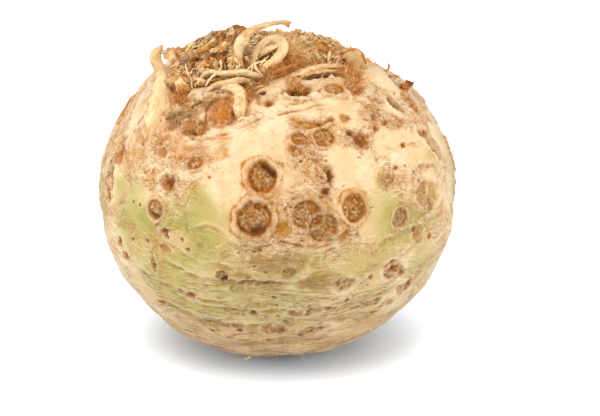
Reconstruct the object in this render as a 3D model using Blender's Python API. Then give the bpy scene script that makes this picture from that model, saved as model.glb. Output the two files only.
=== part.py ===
"""A celeriac, set down on its trimmed leaf end with the root end up, as greengrocers lay it out.

The swollen body is one solid. Each root that stands free of it is a solid of its own, cut to the body's surface.
Metres, +Z up. The origin is the middle of the flat spot that the celeriac rests on, and -Y is its front.
A place on the body is (turn, lift) in degrees: turn runs round from the front to the right, lift up from the middle.
"""

import math

import bmesh
import bpy
from mathutils import Vector, noise

MM = 0.001

# The body's driving dimensions.
WIDTH = 124 * MM
DEPTH = 119 * MM
HEIGHT_IF_ROUND = 112 * MM  # before the flat spot takes off the bottom
FLAT_SPOT_WIDTH = 36 * MM
BODY_SUBDIVISIONS = 5

# Unevenness of the body, all as heights off the plain ellipsoid.
LUMP_HEIGHT = 1.3 * MM
LUMP_SPACING = 24 * MM
KNURL_HEIGHT = 0.45 * MM
KNURL_SPACING = 8 * MM

# The root crown is the rough cap that the roots grew from. It leans a little to the left of straight up.
CROWN_PLACE = (-80, 83)
CROWN_HALF_ANGLE = 34  # degrees from its middle to its edge
CROWN_HEIGHT = 1.5 * MM
CROWN_ROUGHNESS = 1.7 * MM
CROWN_KNURL_SPACING = 7 * MM
CROWN_KNURL_SHIFT = Vector((7, 3, 5))  # which stretch of the noise the crown's knurls are read from

# Swellings of the body, and dips where the height is negative: (turn, lift), height, radius.
SWELLINGS = (
    ((-60, 40), 2.6 * MM, 9 * MM),  # the left root's foot
    ((-30, 55), 1.4 * MM, 9 * MM),  # the straps' left foot
    ((-7, 43), 1.8 * MM, 11 * MM),
    ((30, 44), 1.4 * MM, 12 * MM),
    ((4, 4), 1.0 * MM, 12 * MM),
    ((-74, 12), 1.4 * MM, 12 * MM),
    ((66, 20), 1.6 * MM, 12 * MM),
    ((-124, 58), 2.6 * MM, 18 * MM),  # the crown's high left shoulder
    ((117, 52), -3.6 * MM, 17 * MM),  # and the hollow behind its right one
    ((118, 12), 1.6 * MM, 13 * MM),
    ((170, 38), 2.2 * MM, 12 * MM),
    ((-140, 14), 1.8 * MM, 13 * MM),
    ((93, -20), -2.5 * MM, 20 * MM),
    ((-92, -17), -1.6 * MM, 15 * MM),
    ((-96, 27), -1.3 * MM, 14 * MM),
)

# Free roots are round, and they are cut this far above the body's surface.
ROOT_GAP = 0.4 * MM
ROOT_SIDES_RESOLUTION = 2  # bevel resolution: eight sides
POINTS_PER_SPAN = 4
WELD_WITHIN = 0.001 * MM

# A stump starts this deep inside the body, is widest there, and narrows to its broken tip.
STUB_SUNK = 3 * MM
STUB_BEND = 0.4  # where along its length it starts to lean
STUB_FOOT_SHARE = 1.25
STUB_TIP_SHARE = 0.62

# Plain colours and roughnesses of the three finishes.
SKIN = (0.78, 0.66, 0.40, 1.0)
ROOT_CREAM = (0.84, 0.70, 0.47, 1.0)
ROOT_BROWN = (0.55, 0.37, 0.20, 1.0)
SKIN_ROUGHNESS = 0.6
ROOT_CREAM_ROUGHNESS = 0.55
ROOT_BROWN_ROUGHNESS = 0.75
CUTTER_NAME = "body_grown_by_gap"


def direction(place):
    """The unit vector from the body's middle towards a (turn, lift) place."""
    turn, lift = (math.radians(angle) for angle in place)
    return Vector((math.sin(turn) * math.cos(lift), -math.cos(turn) * math.cos(lift), math.sin(lift)))


def flat_spot_depth():
    """How far below the body's middle the flat spot lies."""
    half_width = (WIDTH + DEPTH) / 4
    share = FLAT_SPOT_WIDTH / 2 / half_width
    return HEIGHT_IF_ROUND / 2 * math.sqrt(1 - share * share)


CENTRE = Vector((0, 0, flat_spot_depth()))
CROWN_AXIS = direction(CROWN_PLACE)


def bump(distance, radius):
    """A smooth hill: 1 at its middle, 0 from the radius on."""
    t = min(distance / radius, 1.0)
    return (1 - t * t) ** 2


def body_radius(ray):
    """The distance from the body's middle to its surface along a unit vector."""
    radii = (WIDTH / 2, DEPTH / 2, HEIGHT_IF_ROUND / 2)
    plain = 1 / math.sqrt(sum((ray[i] / radii[i]) ** 2 for i in range(3)))
    at = ray * plain
    height = LUMP_HEIGHT * noise.noise(at / LUMP_SPACING) + KNURL_HEIGHT * noise.noise(at / KNURL_SPACING)
    crown = bump(math.degrees(ray.angle(CROWN_AXIS)), CROWN_HALF_ANGLE)
    rough = noise.noise(at / CROWN_KNURL_SPACING + CROWN_KNURL_SHIFT)
    height += crown * CROWN_HEIGHT + min(1.0, 2 * crown) * CROWN_ROUGHNESS * rough
    for place, swelling, radius in SWELLINGS:
        height += swelling * bump((at - direction(place) * plain).length, radius)
    return plain + height


def body_mesh(name, grown_by=0.0):
    """The body's closed mesh, with its underside pressed flat at z = 0."""
    ball = bmesh.new()
    bmesh.ops.create_icosphere(ball, subdivisions=BODY_SUBDIVISIONS, radius=1)
    for vertex in ball.verts:
        ray = vertex.co.normalized()
        vertex.co = CENTRE + ray * (body_radius(ray) + grown_by)
        vertex.co.z = max(vertex.co.z, -grown_by)
    mesh = bpy.data.meshes.new(name)
    ball.to_mesh(mesh)
    ball.free()
    mesh.shade_smooth()
    return mesh


def material(name, colour, roughness):
    made = bpy.data.materials.new(name)
    made.use_nodes = True
    shader = made.node_tree.nodes["Principled BSDF"]
    shader.inputs["Base Color"].default_value = colour
    shader.inputs["Roughness"].default_value = roughness
    shader.inputs["Metallic"].default_value = 0.0
    return made


def smooth_through(points, widths):
    """Points and widths read from a Catmull-Rom curve through the hand-chosen ones."""
    ends = [points[0] * 2 - points[1], *points, points[-1] * 2 - points[-2]]
    found = []
    for i in range(1, len(ends) - 2):
        a, b, c, d = ends[i - 1 : i + 3]
        for step in range(POINTS_PER_SPAN):
            t = step / POINTS_PER_SPAN
            at = (b * 2 + (c - a) * t + (a * 2 - b * 5 + c * 4 - d) * t**2 + (b * 3 - a - c * 3 + d) * t**3) / 2
            found.append((at, widths[i - 1] * (1 - t) + widths[i] * t))
    found.append((points[-1], widths[-1]))
    return found


def root(name, points, widths, finish, parts, cutter):
    """A free root: a tapered round tube, made a mesh and cut off where it would enter the body."""
    curve = bpy.data.curves.new(name, "CURVE")
    curve.dimensions = "3D"
    curve.bevel_depth = 1.0
    curve.bevel_resolution = ROOT_SIDES_RESOLUTION
    curve.use_fill_caps = True
    line = smooth_through(points, widths)
    spline = curve.splines.new("POLY")
    spline.points.add(len(line) - 1)
    for point, (at, width) in zip(spline.points, line):
        point.co = (*at, 1.0)
        point.radius = width / 2
    guide = bpy.data.objects.new(name + "_guide", curve)
    parts.objects.link(guide)
    bpy.context.view_layer.update()
    evaluated = guide.evaluated_get(bpy.context.evaluated_depsgraph_get())
    mesh = bpy.data.meshes.new_from_object(evaluated)
    bpy.data.objects.remove(guide)
    welded = bmesh.new()
    welded.from_mesh(mesh)
    bmesh.ops.remove_doubles(welded, verts=welded.verts, dist=WELD_WITHIN)
    bmesh.ops.recalc_face_normals(welded, faces=welded.faces)
    welded.to_mesh(mesh)
    welded.free()
    mesh.shade_smooth()
    mesh.materials.clear()
    mesh.materials.append(finish)
    made = bpy.data.objects.new(name, mesh)
    parts.objects.link(made)
    cut = made.modifiers.new("cut_to_body", "BOOLEAN")
    cut.operation = "DIFFERENCE"
    cut.object = cutter
    return made


def from_middle(x, y, z):
    """A point given in millimetres from the body's middle."""
    return CENTRE + Vector((x, y, z)) * MM


def long_root(name, stations, finish, parts, cutter):
    """A root through (x, y, z, width) stations, in millimetres from the body's middle."""
    points = [from_middle(*station[:3]) for station in stations]
    widths = [station[3] * MM for station in stations]
    return root(name, points, widths, finish, parts, cutter)


def stub(name, place, length, width, lean, finish, parts, cutter):
    """A short root stump that leaves the body square and then leans over. lean is in millimetres of X, Y and Z."""
    ray = direction(place)
    surface = body_radius(ray)
    points = [CENTRE + ray * (surface - STUB_SUNK), CENTRE + ray * (surface + length * STUB_BEND * MM)]
    points.append(CENTRE + ray * (surface + length * MM) + Vector(lean) * MM)
    widths = [width * share * MM for share in (STUB_FOOT_SHARE, 1, STUB_TIP_SHARE)]
    return root(name, points, widths, finish, parts, cutter)


# The long free roots: name, then stations of x, y, z and width in millimetres from the body's middle.
LONG_ROOTS = {
    "left_root": (
        (-37.5, -24.5, 31, 12),
        (-40, -25.5, 36.3, 9.6),
        (-41.5, -19.5, 42.3, 7.2),
        (-40.2, -15.5, 47.2, 5.8),
        (-41, -13.5, 51.3, 5.0),
        (-42.3, -12.5, 54.3, 4.2),
        (-41.2, -11.5, 56.4, 3.0),
        (-38.4, -11, 55.6, 2.2),
    ),
    "arching_root": (
        (-12, -18.5, 45, 3.6),
        (-12.5, -22, 53.6, 3.4),
        (-13.3, -20.5, 60.3, 3.3),
        (-10.4, -19.5, 65.8, 3.0),
        (-4.6, -19, 68.0, 2.3),
        (1.5, -18.5, 69.0, 2.0),
        (4.3, -18, 67.8, 2.6),
    ),
    "looped_root": (
        (-3, -24, 47, 3.6),
        (-1.2, -23, 53, 4.0),
        (1.2, -20.5, 55.8, 4.2),
        (2.4, -17, 58.6, 4.4),
        (-0.3, -14, 60.6, 4.3),
        (-3.6, -13, 60.4, 4.1),
        (-6.6, -14.5, 58.4, 3.8),
        (-7.7, -18, 55.6, 3.6),
        (-6.2, -19.5, 48, 3.4),
    ),
    "upper_strap_root": (
        (-23.5, -19, 46, 3.2),
        (-21, -24, 52.5, 3.2),
        (-15, -26.5, 53.4, 3.4),
        (-9, -26.5, 53.4, 3.5),
        (-4.5, -27.2, 52.4, 3.2),
        (1, -26.5, 47, 3.0),
    ),
    "lower_strap_root": (
        (-24, -25, 41, 2.8),
        (-21.5, -28.5, 48.6, 2.8),
        (-17.5, -30.2, 50.8, 2.9),
        (-13.5, -30.7, 51.2, 3.1),
        (-10.7, -31, 49.8, 3.8),
        (-10.7, -32.8, 46.4, 5.0),
        (-11.5, -32.5, 40, 7.0),
    ),
    "right_curl_rootlet": (
        (18.5, -4.5, 47, 1.6),
        (22, -5, 53.2, 1.5),
        (26.5, -5.5, 54.6, 1.4),
        (30.3, -5.5, 53.2, 1.3),
        (32.6, -6, 49.6, 1.2),
    ),
}

# Short stumps: name, place, length, width and lean, in degrees and millimetres.
STUBS = (
    ("crown_stub_left", (-52, 64), 5.0, 6.0, (-2, 0, 1)),
    ("crown_stub_middle", (-80, 72), 4.0, 5.4, (1, -1, 1)),
    ("crown_stub_peak", (-110, 76), 3.5, 6.4, (0, 0, 0)),
    ("crown_stub_right", (62, 73), 3.0, 6.0, (1, 0, 0)),
    ("right_knob_root", (68, 62), 3.5, 6.4, (-1.5, -2.5, 0)),
    ("right_curled_stub", (86, 42), 3.5, 3.4, (0.5, -1, 1)),
    ("back_left_root", (-143, 29), 9.0, 6.4, (-3, 2, 1)),
    ("back_root", (165, 30), 9.0, 7.0, (3, 3, -1)),
    ("back_right_root", (142, 12), 8.0, 5.6, (2, 2, 1)),
    ("crown_stub_back", (150, 72), 4.0, 5.4, (1, 2, 0)),
)


def build():
    for old in list(bpy.data.objects):
        bpy.data.objects.remove(old)
    parts = bpy.data.collections.new("celeriac")
    cutters = bpy.data.collections.new("cutters")
    for collection in (parts, cutters):
        bpy.context.scene.collection.children.link(collection)

    body = bpy.data.objects.new("celeriac_body", body_mesh("celeriac_body"))
    body.data.materials.append(material("skin", SKIN, SKIN_ROUGHNESS))
    parts.objects.link(body)

    cutter = bpy.data.objects.new(CUTTER_NAME, body_mesh(CUTTER_NAME, ROOT_GAP))
    cutter.hide_render = True
    cutter.display_type = "WIRE"
    cutters.objects.link(cutter)

    cream = material("root_cream", ROOT_CREAM, ROOT_CREAM_ROUGHNESS)
    brown = material("root_brown", ROOT_BROWN, ROOT_BROWN_ROUGHNESS)
    for name, stations in LONG_ROOTS.items():
        long_root(name, stations, cream, parts, cutter)
    for name, place, length, width, lean in STUBS:
        stub(name, place, length, width, lean, brown, parts, cutter)


build()
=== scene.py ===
import math

import bmesh
import bpy
import numpy as np
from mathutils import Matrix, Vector
from mathutils.bvhtree import BVHTree


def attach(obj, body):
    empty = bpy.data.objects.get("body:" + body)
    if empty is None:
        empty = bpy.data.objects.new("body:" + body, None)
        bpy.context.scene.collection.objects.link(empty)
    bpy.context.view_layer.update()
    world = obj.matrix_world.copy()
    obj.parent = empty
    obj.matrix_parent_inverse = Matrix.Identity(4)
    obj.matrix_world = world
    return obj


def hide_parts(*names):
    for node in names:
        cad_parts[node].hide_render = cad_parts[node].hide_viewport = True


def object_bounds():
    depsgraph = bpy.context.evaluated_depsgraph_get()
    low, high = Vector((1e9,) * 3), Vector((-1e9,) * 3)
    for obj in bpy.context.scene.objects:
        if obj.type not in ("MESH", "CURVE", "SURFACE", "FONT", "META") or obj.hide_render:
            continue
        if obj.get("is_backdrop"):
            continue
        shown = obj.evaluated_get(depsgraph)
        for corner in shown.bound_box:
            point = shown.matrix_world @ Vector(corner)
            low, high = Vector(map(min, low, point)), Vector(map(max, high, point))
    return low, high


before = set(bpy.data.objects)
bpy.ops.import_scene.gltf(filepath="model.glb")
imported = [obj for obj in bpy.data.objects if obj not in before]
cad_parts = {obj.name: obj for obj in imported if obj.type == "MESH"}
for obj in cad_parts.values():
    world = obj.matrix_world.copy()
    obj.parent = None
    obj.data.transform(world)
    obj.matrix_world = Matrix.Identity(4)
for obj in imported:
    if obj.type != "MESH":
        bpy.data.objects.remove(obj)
cad_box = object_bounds()

# ------------------------------------------------------------------ the body
# A celeriac is one swollen root, near enough a ball, with a firm cream flesh under a thin skin.
# It stands on its trimmed leaf end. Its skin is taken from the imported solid, rounded off, and
# everything that grew on it is then raised or sunk from there. Lengths here are millimetres.

MM = 0.001
MIDDLE = np.array((0.0, 0.0, 53.4))
SKIN_FINENESS = 8
ROUNDING_PASSES = 12


def step(value, low, high):
    """0 below low, 1 above high, and a smooth rise between."""
    t = np.clip((value - low) / (high - low), 0, 1)
    return t * t * (3 - 2 * t)


def bell(value, middle, width):
    return np.exp(-(((value - middle) / width) ** 2))


def towards(turn, lift):
    """The way from the middle to a place: turn degrees from the front round to the right, lift up."""
    turn, lift = math.radians(turn), math.radians(lift)
    return np.array(
        (math.sin(turn) * math.cos(lift), -math.cos(turn) * math.cos(lift), math.sin(lift))
    )


SHUFFLE = np.random.default_rng(11).permutation(256)
SLOPES = np.random.default_rng(12).normal(size=(256, 3))
SLOPES /= np.linalg.norm(SLOPES, axis=1)[:, None]


def noise(points, spacing, seed):
    """Soft random ups and downs, about -1 to 1, one every spacing millimetres."""
    p = points / spacing + np.array((seed * 7.13, seed * 3.71, seed * 5.39))
    cell = np.floor(p).astype(int)
    f = p - cell
    ease = f * f * f * (f * (f * 6 - 15) + 10)
    total = np.zeros(len(p))
    for i in (0, 1):
        for j in (0, 1):
            for k in (0, 1):
                hashed = SHUFFLE[(cell[:, 0] + i) & 255]
                hashed = SHUFFLE[(hashed + cell[:, 1] + j) & 255]
                hashed = SHUFFLE[(hashed + cell[:, 2] + k) & 255]
                share = (
                    (ease[:, 0] if i else 1 - ease[:, 0])
                    * (ease[:, 1] if j else 1 - ease[:, 1])
                    * (ease[:, 2] if k else 1 - ease[:, 2])
                )
                total += share * ((f - (i, j, k)) * SLOPES[hashed]).sum(1)
    return total * 1.6


def layered(points, spacing, layers, seed):
    """Noise with finer and finer noise on it."""
    total = np.zeros(len(points))
    for layer in range(layers):
        total += noise(points, spacing / 2**layer, seed + 31 * layer) / 2**layer
    return total


def pebbles(points, spacing, seed):
    """Random cells: how far each point is from its cell's heart in spacings, and the cell's number 0-1."""
    p = points / spacing + seed * 9.7
    home = np.floor(p).astype(int)
    nearest = np.full(len(p), 9.0)
    number = np.zeros(len(p))
    for i in (-1, 0, 1):
        for j in (-1, 0, 1):
            for k in (-1, 0, 1):
                cell = home + (i, j, k)
                h = SHUFFLE[(SHUFFLE[(SHUFFLE[cell[:, 0] & 255] + cell[:, 1]) & 255] + cell[:, 2]) & 255]
                heart = cell + 0.5 + SLOPES[h] * 0.42
                far = np.linalg.norm(p - heart, axis=1)
                closer = far < nearest
                nearest = np.where(closer, far, nearest)
                number = np.where(closer, h / 255, number)
    return nearest, number


def rounded_tree(node):
    """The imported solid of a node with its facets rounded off, for finding its surface."""
    shape = bmesh.new()
    shape.from_mesh(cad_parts[node].data)
    bmesh.ops.remove_doubles(shape, verts=shape.verts, dist=0.01 * MM)
    mesh = bpy.data.meshes.new("rounded")
    shape.to_mesh(mesh)
    shape.free()
    rounded = bpy.data.objects.new("rounded", mesh)
    bpy.context.scene.collection.objects.link(rounded)
    finer = rounded.modifiers.new("finer", "SUBSURF")
    finer.levels = 2
    bpy.context.view_layer.update()
    tree = BVHTree.FromObject(rounded, bpy.context.evaluated_depsgraph_get())
    bpy.data.objects.remove(rounded)
    return tree


ball = bmesh.new()
bmesh.ops.create_icosphere(ball, subdivisions=SKIN_FINENESS, radius=1.0)
skin_mesh = bpy.data.meshes.new("celeriac_skin")
ball.to_mesh(skin_mesh)
ball.free()
COUNT = len(skin_mesh.vertices)
rays = np.empty(COUNT * 3)
skin_mesh.vertices.foreach_get("co", rays)
rays = rays.reshape(-1, 3)
corners = np.empty(len(skin_mesh.loops), int)
skin_mesh.loops.foreach_get("vertex_index", corners)
corners = corners.reshape(-1, 3)
sides = np.empty(len(skin_mesh.edges) * 2, int)
skin_mesh.edges.foreach_get("vertices", sides)
sides = sides.reshape(-1, 2)
neighbours = np.bincount(sides.ravel(), minlength=COUNT)

body_tree = rounded_tree("celeriac_body")
middle_m = Vector(MIDDLE * MM)
reach = np.array([(body_tree.ray_cast(middle_m, Vector(ray))[0] - middle_m).length for ray in rays]) / MM


def spread(values):
    """Each value's average with its neighbours on the skin."""
    total = np.bincount(sides[:, 0], values[sides[:, 1]], COUNT)
    total += np.bincount(sides[:, 1], values[sides[:, 0]], COUNT)
    return (values + total) / (neighbours + 1)


def blurred(values, passes):
    for _ in range(passes):
        values = spread(values)
    return values


def outward(points):
    """The skin's unit normals."""
    a, b, c = (points[corners[:, n]] for n in range(3))
    faces = np.cross(b - a, c - a)
    total = np.stack(
        [sum(np.bincount(corners[:, n], faces[:, axis], COUNT) for n in range(3)) for axis in range(3)], 1
    )
    return total / np.linalg.norm(total, axis=1)[:, None]


reach = blurred(reach, ROUNDING_PASSES)
ground = rays * reach[:, None]
ground_out = outward(ground)
height = np.zeros(COUNT)
stain = {
    name: np.zeros(COUNT)
    for name in (
        "green", "brown", "dark", "pale", "grey", "orange", "crumb", "crack",
        "crown", "rose", "fur", "tan", "leather", "ochre", "olive",
    )
}


def patch(turn, lift, size):
    """The skin within size of a place, with how far east and north of it each point lies."""
    centre = int(np.argmax(rays @ towards(turn, lift)))
    offset = ground - ground[centre]
    near = np.flatnonzero((offset**2).sum(1) < size**2)
    out = ground_out[centre]
    east = np.cross((0, 0, 1), out)
    east /= np.linalg.norm(east)
    north = np.cross(out, east)
    return near, offset[near] @ east, offset[near] @ north


ALL = slice(None)  # every point of the skin


def tint(name, near, amount):
    stain[name][near] = np.maximum(stain[name][near], amount)


# The body's own swell: soft lumps between the places where side roots grew. Some of the skin
# stayed smooth and the rest is leathery, with fine wrinkles and brown-pink stains.
SMOOTH_SKIN = (  # turn, lift, radius
    (63, 26, 6), (54, 27, 8), (60, 40, 5), (38, 44, 6), (-74, 34, 6), (10.5, 58, 5), (26, 53, 8),
    (38, 57, 6), (79, 51, 6.5), (14, 50, 5), (-6, 54, 7), (4, 56, 5), (0, 43, 5), (-13.5, 33.5, 11),
    (-3, 37, 8), (30.5, 27.5, 7.5), (25.5, 22, 5), (-69.5, 32.5, 6), (-18, 20, 9), (-23, 9.5, 8),
    (-31.5, -3, 9), (-50.5, 7.5, 9), (34, 7.5, 7), (47.5, 30.5, 6), (110, 40, 9), (140, 2, 10),
    (172, 34, 9), (-160, -8, 9), (-130, 14, 10), (-112, 24, 8), (84, 22, 9), (-96, 12, 7),
)
smooth = np.zeros(COUNT)
for turn, lift, size in SMOOTH_SKIN:
    near, x, y = patch(turn, lift, 1.5 * size)
    away = np.hypot(x, y) / size + 0.25 * noise(ground[near], 6, 4)
    smooth[near] = np.maximum(smooth[near], 1 - step(away, 0.6, 1.15))
leathery = (1 - smooth) * step(noise(ground, 12, 60) + 0.35 * noise(ground, 5, 61), -0.75, 0.25)
leathery *= 0.2 + 0.8 * step(ground[:, 2], -14, 6)
FLATTENED = (  # turn, lift, radius, depth: where the ball is a little flat
    (92, -20, 24, 2.6), (-92, -17, 20, 1.4), (155, 70, 28, 2.2), (-140, 72, 24, 1.3), (-92, 26, 16, 1.0),
)
for turn, lift, size, deep in FLATTENED:
    near, x, y = patch(turn, lift, size)
    height[near] -= deep * (1 - step(np.hypot(x, y), 0.2 * size, size))
height += 0.55 * noise(ground, 17, 1) + 0.28 * noise(ground, 8.5, 2) + 0.12 * noise(ground, 4, 3)
contour = layered(ground * (1, 1, 1.6), 10, 3, 62)
edge = bell(contour, 0.12, 0.035) + 0.8 * bell(contour, -0.42, 0.03) + 0.6 * bell(contour, 0.62, 0.04)
inside = step(contour, 0.12, 0.2) * (1 - step(contour, 0.35, 0.8))
height += leathery * (0.12 * noise(ground * (1, 1, 2), 2.2, 63) - 0.35 * edge + 0.25 * inside)
stain["leather"] = leathery
stain["crack"] = leathery * 0.8 * edge * step(noise(ground, 7, 64), -0.3, 0.4)
tanned = np.maximum(0.85 * inside, 0.6 * step(-contour, 0.42, 0.46))
stain["tan"] = leathery * tanned * step(noise(ground, 8, 67), -0.5, 0.4)
stain["orange"] = leathery * 0.55 * step(noise(ground, 9, 65) + 0.5 * noise(ground, 3, 66), 0.1, 0.8)
stain["rose"] = 0.7 * leathery * step(noise(ground, 7, 68) + 0.5 * noise(ground, 2.5, 69), 0.25, 0.9)
stain["crumb"] = leathery * 0.25

# ------------------------------------------------------------------ the crown's ground
# The root end is a mat of broken root feet, dead skin and soil-brown fibre that was only
# half trimmed off, so the skin there is rough, hollow and brown, with smooth tongues of flesh.

CROWN = towards(-80, 83)
CROWN_EDGE = 33
from_crown = np.degrees(np.arccos(np.clip(rays @ CROWN, -1, 1)))
ragged = from_crown + 4.5 * noise(ground, 17, 5) + 2.5 * noise(ground, 6, 6)
crown = 1 - step(ragged, CROWN_EDGE - 4, CROWN_EDGE + 3)
SMOOTH_TONGUES = (  # turn, lift, radius: flesh that swells up into the crown between the fibres
    (-39, 53, 4.6), (-47, 51, 4.0), (-31, 54.5, 3.4), (-6, 54, 6.2), (3, 57, 5.4), (-12, 49, 3.0),
    (10.5, 59, 7), (40, 58, 7.5), (-21, 51.5, 5.5), (79, 51, 6.5), (-65.5, 45, 6), (25.5, 52.5, 8.5),
    (120, 55, 7), (165, 54, 8), (-150, 52, 7), (-100, 46, 7),
)
for turn, lift, size in SMOOTH_TONGUES:
    near, x, y = patch(turn, lift, 2 * size)
    away = np.hypot(x, y) + 1.2 * noise(ground[near], 5, 8)
    crown[near] *= step(away, 0.75 * size, 1.15 * size)
    height[near] += 1.1 * (1 - step(away, 0.2 * size, 1.3 * size))
stain["crown"] = crown

heart_far, heart_number = pebbles(ground + 1.2 * noise(ground, 4, 9)[:, None], 6.5, 2)
stump_rim = bell(heart_far, 0.33, 0.10) * (heart_number > 0.35)
stump_hollow = (1 - step(heart_far, 0.10, 0.28)) * (heart_number > 0.55)
tears = np.abs(noise(ground, 3.4, 14))
front_side = 0.35 + 0.65 * (1 - step(ground[:, 1], -10, 4))
height += crown * front_side * (
    1.3 * noise(ground, 9, 10)
    + 1.0 * stump_rim
    - 1.9 * stump_hollow
    + 0.9 * (heart_number - 0.5)
    - 1.0 * (1 - step(tears, 0.0, 0.25))
    + 0.55 * noise(ground, 1.9, 15)
)
tint("brown", ALL, crown * step(noise(ground, 5, 16), -0.55, 0.35))
# Painted shade: the stump hollows and the torn hollows of the crown are darkened.
tint("dark", ALL, crown * np.maximum(0.9 * stump_hollow, 1 - step(tears, 0.02, 0.11)))
tint("crumb", ALL, crown)

GAPS_BETWEEN = (  # turn, lift, radius, depth: holes left between the roots and under the straps, painted dark as shade
    (-43, 60, 1.8, 2.2), (-21, 60, 1.6, 1.6), (-16, 55.5, 1.5, 1.6), (22, 63.5, 1.1, 1.4),
    (30, 64.5, 1.1, 1.4), (38, 65, 1.0, 1.2), (-50, 65, 1.6, 1.8), (-27, 62, 1.4, 1.4),
    (12, 57, 2.2, 0.8), (27, 63, 1.4, 1.8), (33, 63, 1.4, 1.8), (39, 62.3, 1.4, 1.8), (46, 61, 1.2, 1.4),
    (-9, 56, 1.3, 1.2), (-57, 52, 1.2, 1.2), (-12, 70, 2.0, 2.0), (-35, 66, 1.5, 1.8),
    (-62, 60, 1.5, 1.4), (-19, 57, 1.0, 1.2),
)
for turn, lift, size, deep in GAPS_BETWEEN:
    near, x, y = patch(turn, lift, 2.2 * size)
    away = np.hypot(0.8 * x, y) / size + 0.35 * noise(ground[near], 1.6, 23)
    gap = 1 - step(away, 0.3, 1.2)
    height[near] -= deep * gap
    tint("dark", near, 1.2 * gap)

MATS = (  # turn, lift, radius, strands: where the root hair is thickest
    (53, 74.5, 9, 800), (31.5, 73.5, 6, 420), (66, 71, 4, 160), (57, 59, 4.6, 750),
    (49.5, 53.5, 3.4, 300), (16, 70.5, 4.5, 450), (21, 83, 6, 420), (-15.5, 52.5, 1.7, 120),
    (-19, 57, 2.4, 220), (-11.5, 62, 3.2, 300), (0, 65, 3.2, 300), (17, 68, 3.2, 300),
    (36, 67.5, 3.0, 260), (-60, 50.5, 3.6, 320), (-55, 46.5, 2.4, 160), (-40, 57, 1.8, 60),
    (0, 82, 8, 420), (-65.5, 68.5, 8, 300), (-100, 74, 9, 300), (-40, 38.5, 2.6, 170),
    (-34, 38.5, 1.8, 90), (12, 59, 3.0, 70), (17, 57, 2.0, 40), (-62, 41, 2.0, 60), (-69, 20, 2.4, 90),
    (90, 66, 8, 400), (105, 58, 7, 220), (150, 64, 10, 340), (-160, 62, 10, 340), (-120, 62, 9, 300),
    (180, 76, 9, 300),
)
for turn, lift, size, strands in MATS:
    near, x, y = patch(turn, lift, 1.5 * size)
    away = np.hypot(x, y) / size + 0.3 * noise(ground[near], 2.6, 18)
    matted = 1 - step(away, 0.7, 1.1)
    tint("fur", near, matted)
    height[near] += matted * (0.35 * noise(ground[near], 1.6, 19) - 0.15)

# ------------------------------------------------------------------ root scars
# Where a side root broke off, the skin healed into a round scar: a pale raised lip, a sunken moat
# just inside it, dark with painted shade, and a crumbly brown plug of old root in the middle.

ROOT_SCARS = (  # turn, lift, half width, half height, lean, depth, lip, strength of the brown
    (-5.5, 25, 5.0, 5.2, 0, 1.1, 0.75, 1.0), (-7.5, 11.5, 5.9, 5.7, 0, 1.2, 0.85, 1.0),
    (10, 13, 5.2, 4.9, 0, 0.8, 0.5, 0.75), (15.5, 8, 5.0, 4.6, 20, 0.9, 0.5, 0.85),
    (26.5, 13.5, 4.3, 4.6, 0, 1.0, 0.55, 1.0), (-43.5, 9.5, 3.3, 3.4, -20, 0.9, 0.55, 0.9),
    (44.5, 6.5, 3.6, 3.3, 0, 0.8, 0.5, 0.8), (-18, -8.5, 2.1, 2.0, 0, 1.0, 0.35, 1.0),
    (41, 20, 2.6, 2.2, 0, 0.6, 0.35, 0.6), (-31.5, 27.5, 2.6, 2.2, 25, 0.8, 0.45, 0.9),
    (20, 38, 3.3, 3.2, 0, 0.7, 0.45, 0.85), (9.5, 38, 2.8, 2.2, 0, 0.6, 0.4, 0.7),
    (7.5, 34, 2.4, 1.8, 0, 0.5, 0.35, 0.6), (35, 54.5, 3.6, 2.6, 0, 0.8, 0.5, 0.8),
    (-13.5, -13.5, 2.6, 1.7, 0, 0.35, 0.35, 0.3), (-39, -3, 2.2, 1.5, -20, 0.5, 0.3, 0.5),
    (4, -7, 2.4, 1.9, 30, 0.5, 0.35, 0.7), (31.5, 43, 1.4, 1.4, 0, 0.4, 0.3, 0.8),
    (-25.5, 1, 1.1, 1.0, 0, 0.4, 0.2, 0.5), (-58, 39, 1.5, 1.7, 0, 0.5, 0.3, 0.6),
    (95, 12, 5.2, 5.0, 0, 1.0, 0.7, 1.0), (88, -8, 3.0, 2.7, 0, 0.8, 0.45, 0.9),
    (112, 30, 4.2, 4.0, 15, 0.9, 0.6, 0.9), (128, -3, 4.6, 4.4, 0, 1.0, 0.6, 1.0),
    (146, 18, 5.8, 5.5, 0, 1.2, 0.8, 1.0), (160, -10, 2.6, 2.3, 0, 0.8, 0.4, 0.9),
    (176, 8, 4.4, 4.6, -15, 1.0, 0.6, 0.9), (-168, 27, 5.0, 4.6, 0, 1.0, 0.7, 1.0),
    (-155, -4, 3.6, 3.3, 0, 0.8, 0.5, 0.9), (-128, 22, 3.0, 2.8, 0, 0.7, 0.4, 0.8),
    (-122, 6, 5.6, 5.2, 0, 1.1, 0.7, 1.0), (-104, 26, 4.2, 4.4, 10, 0.9, 0.6, 0.9),
    (-96, -6, 3.2, 2.9, 0, 0.8, 0.5, 0.9), (-84, 14, 2.2, 2.0, 0, 0.6, 0.3, 0.7),
    (104, -22, 2.0, 1.6, 0, 0.6, 0.3, 0.8), (-128, -20, 2.2, 1.8, 0, 0.6, 0.3, 0.8),
)
GAPS = {  # scar number: way in degrees from its right, width and depth of what crumbled out of it
    0: (50, 0.42, 1.4), 1: (-75, 0.3, 0.5), 5: (-80, 0.6, 1.2), 7: (-60, 0.4, 1.4), 23: (120, 0.6, 1.8),
}

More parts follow.
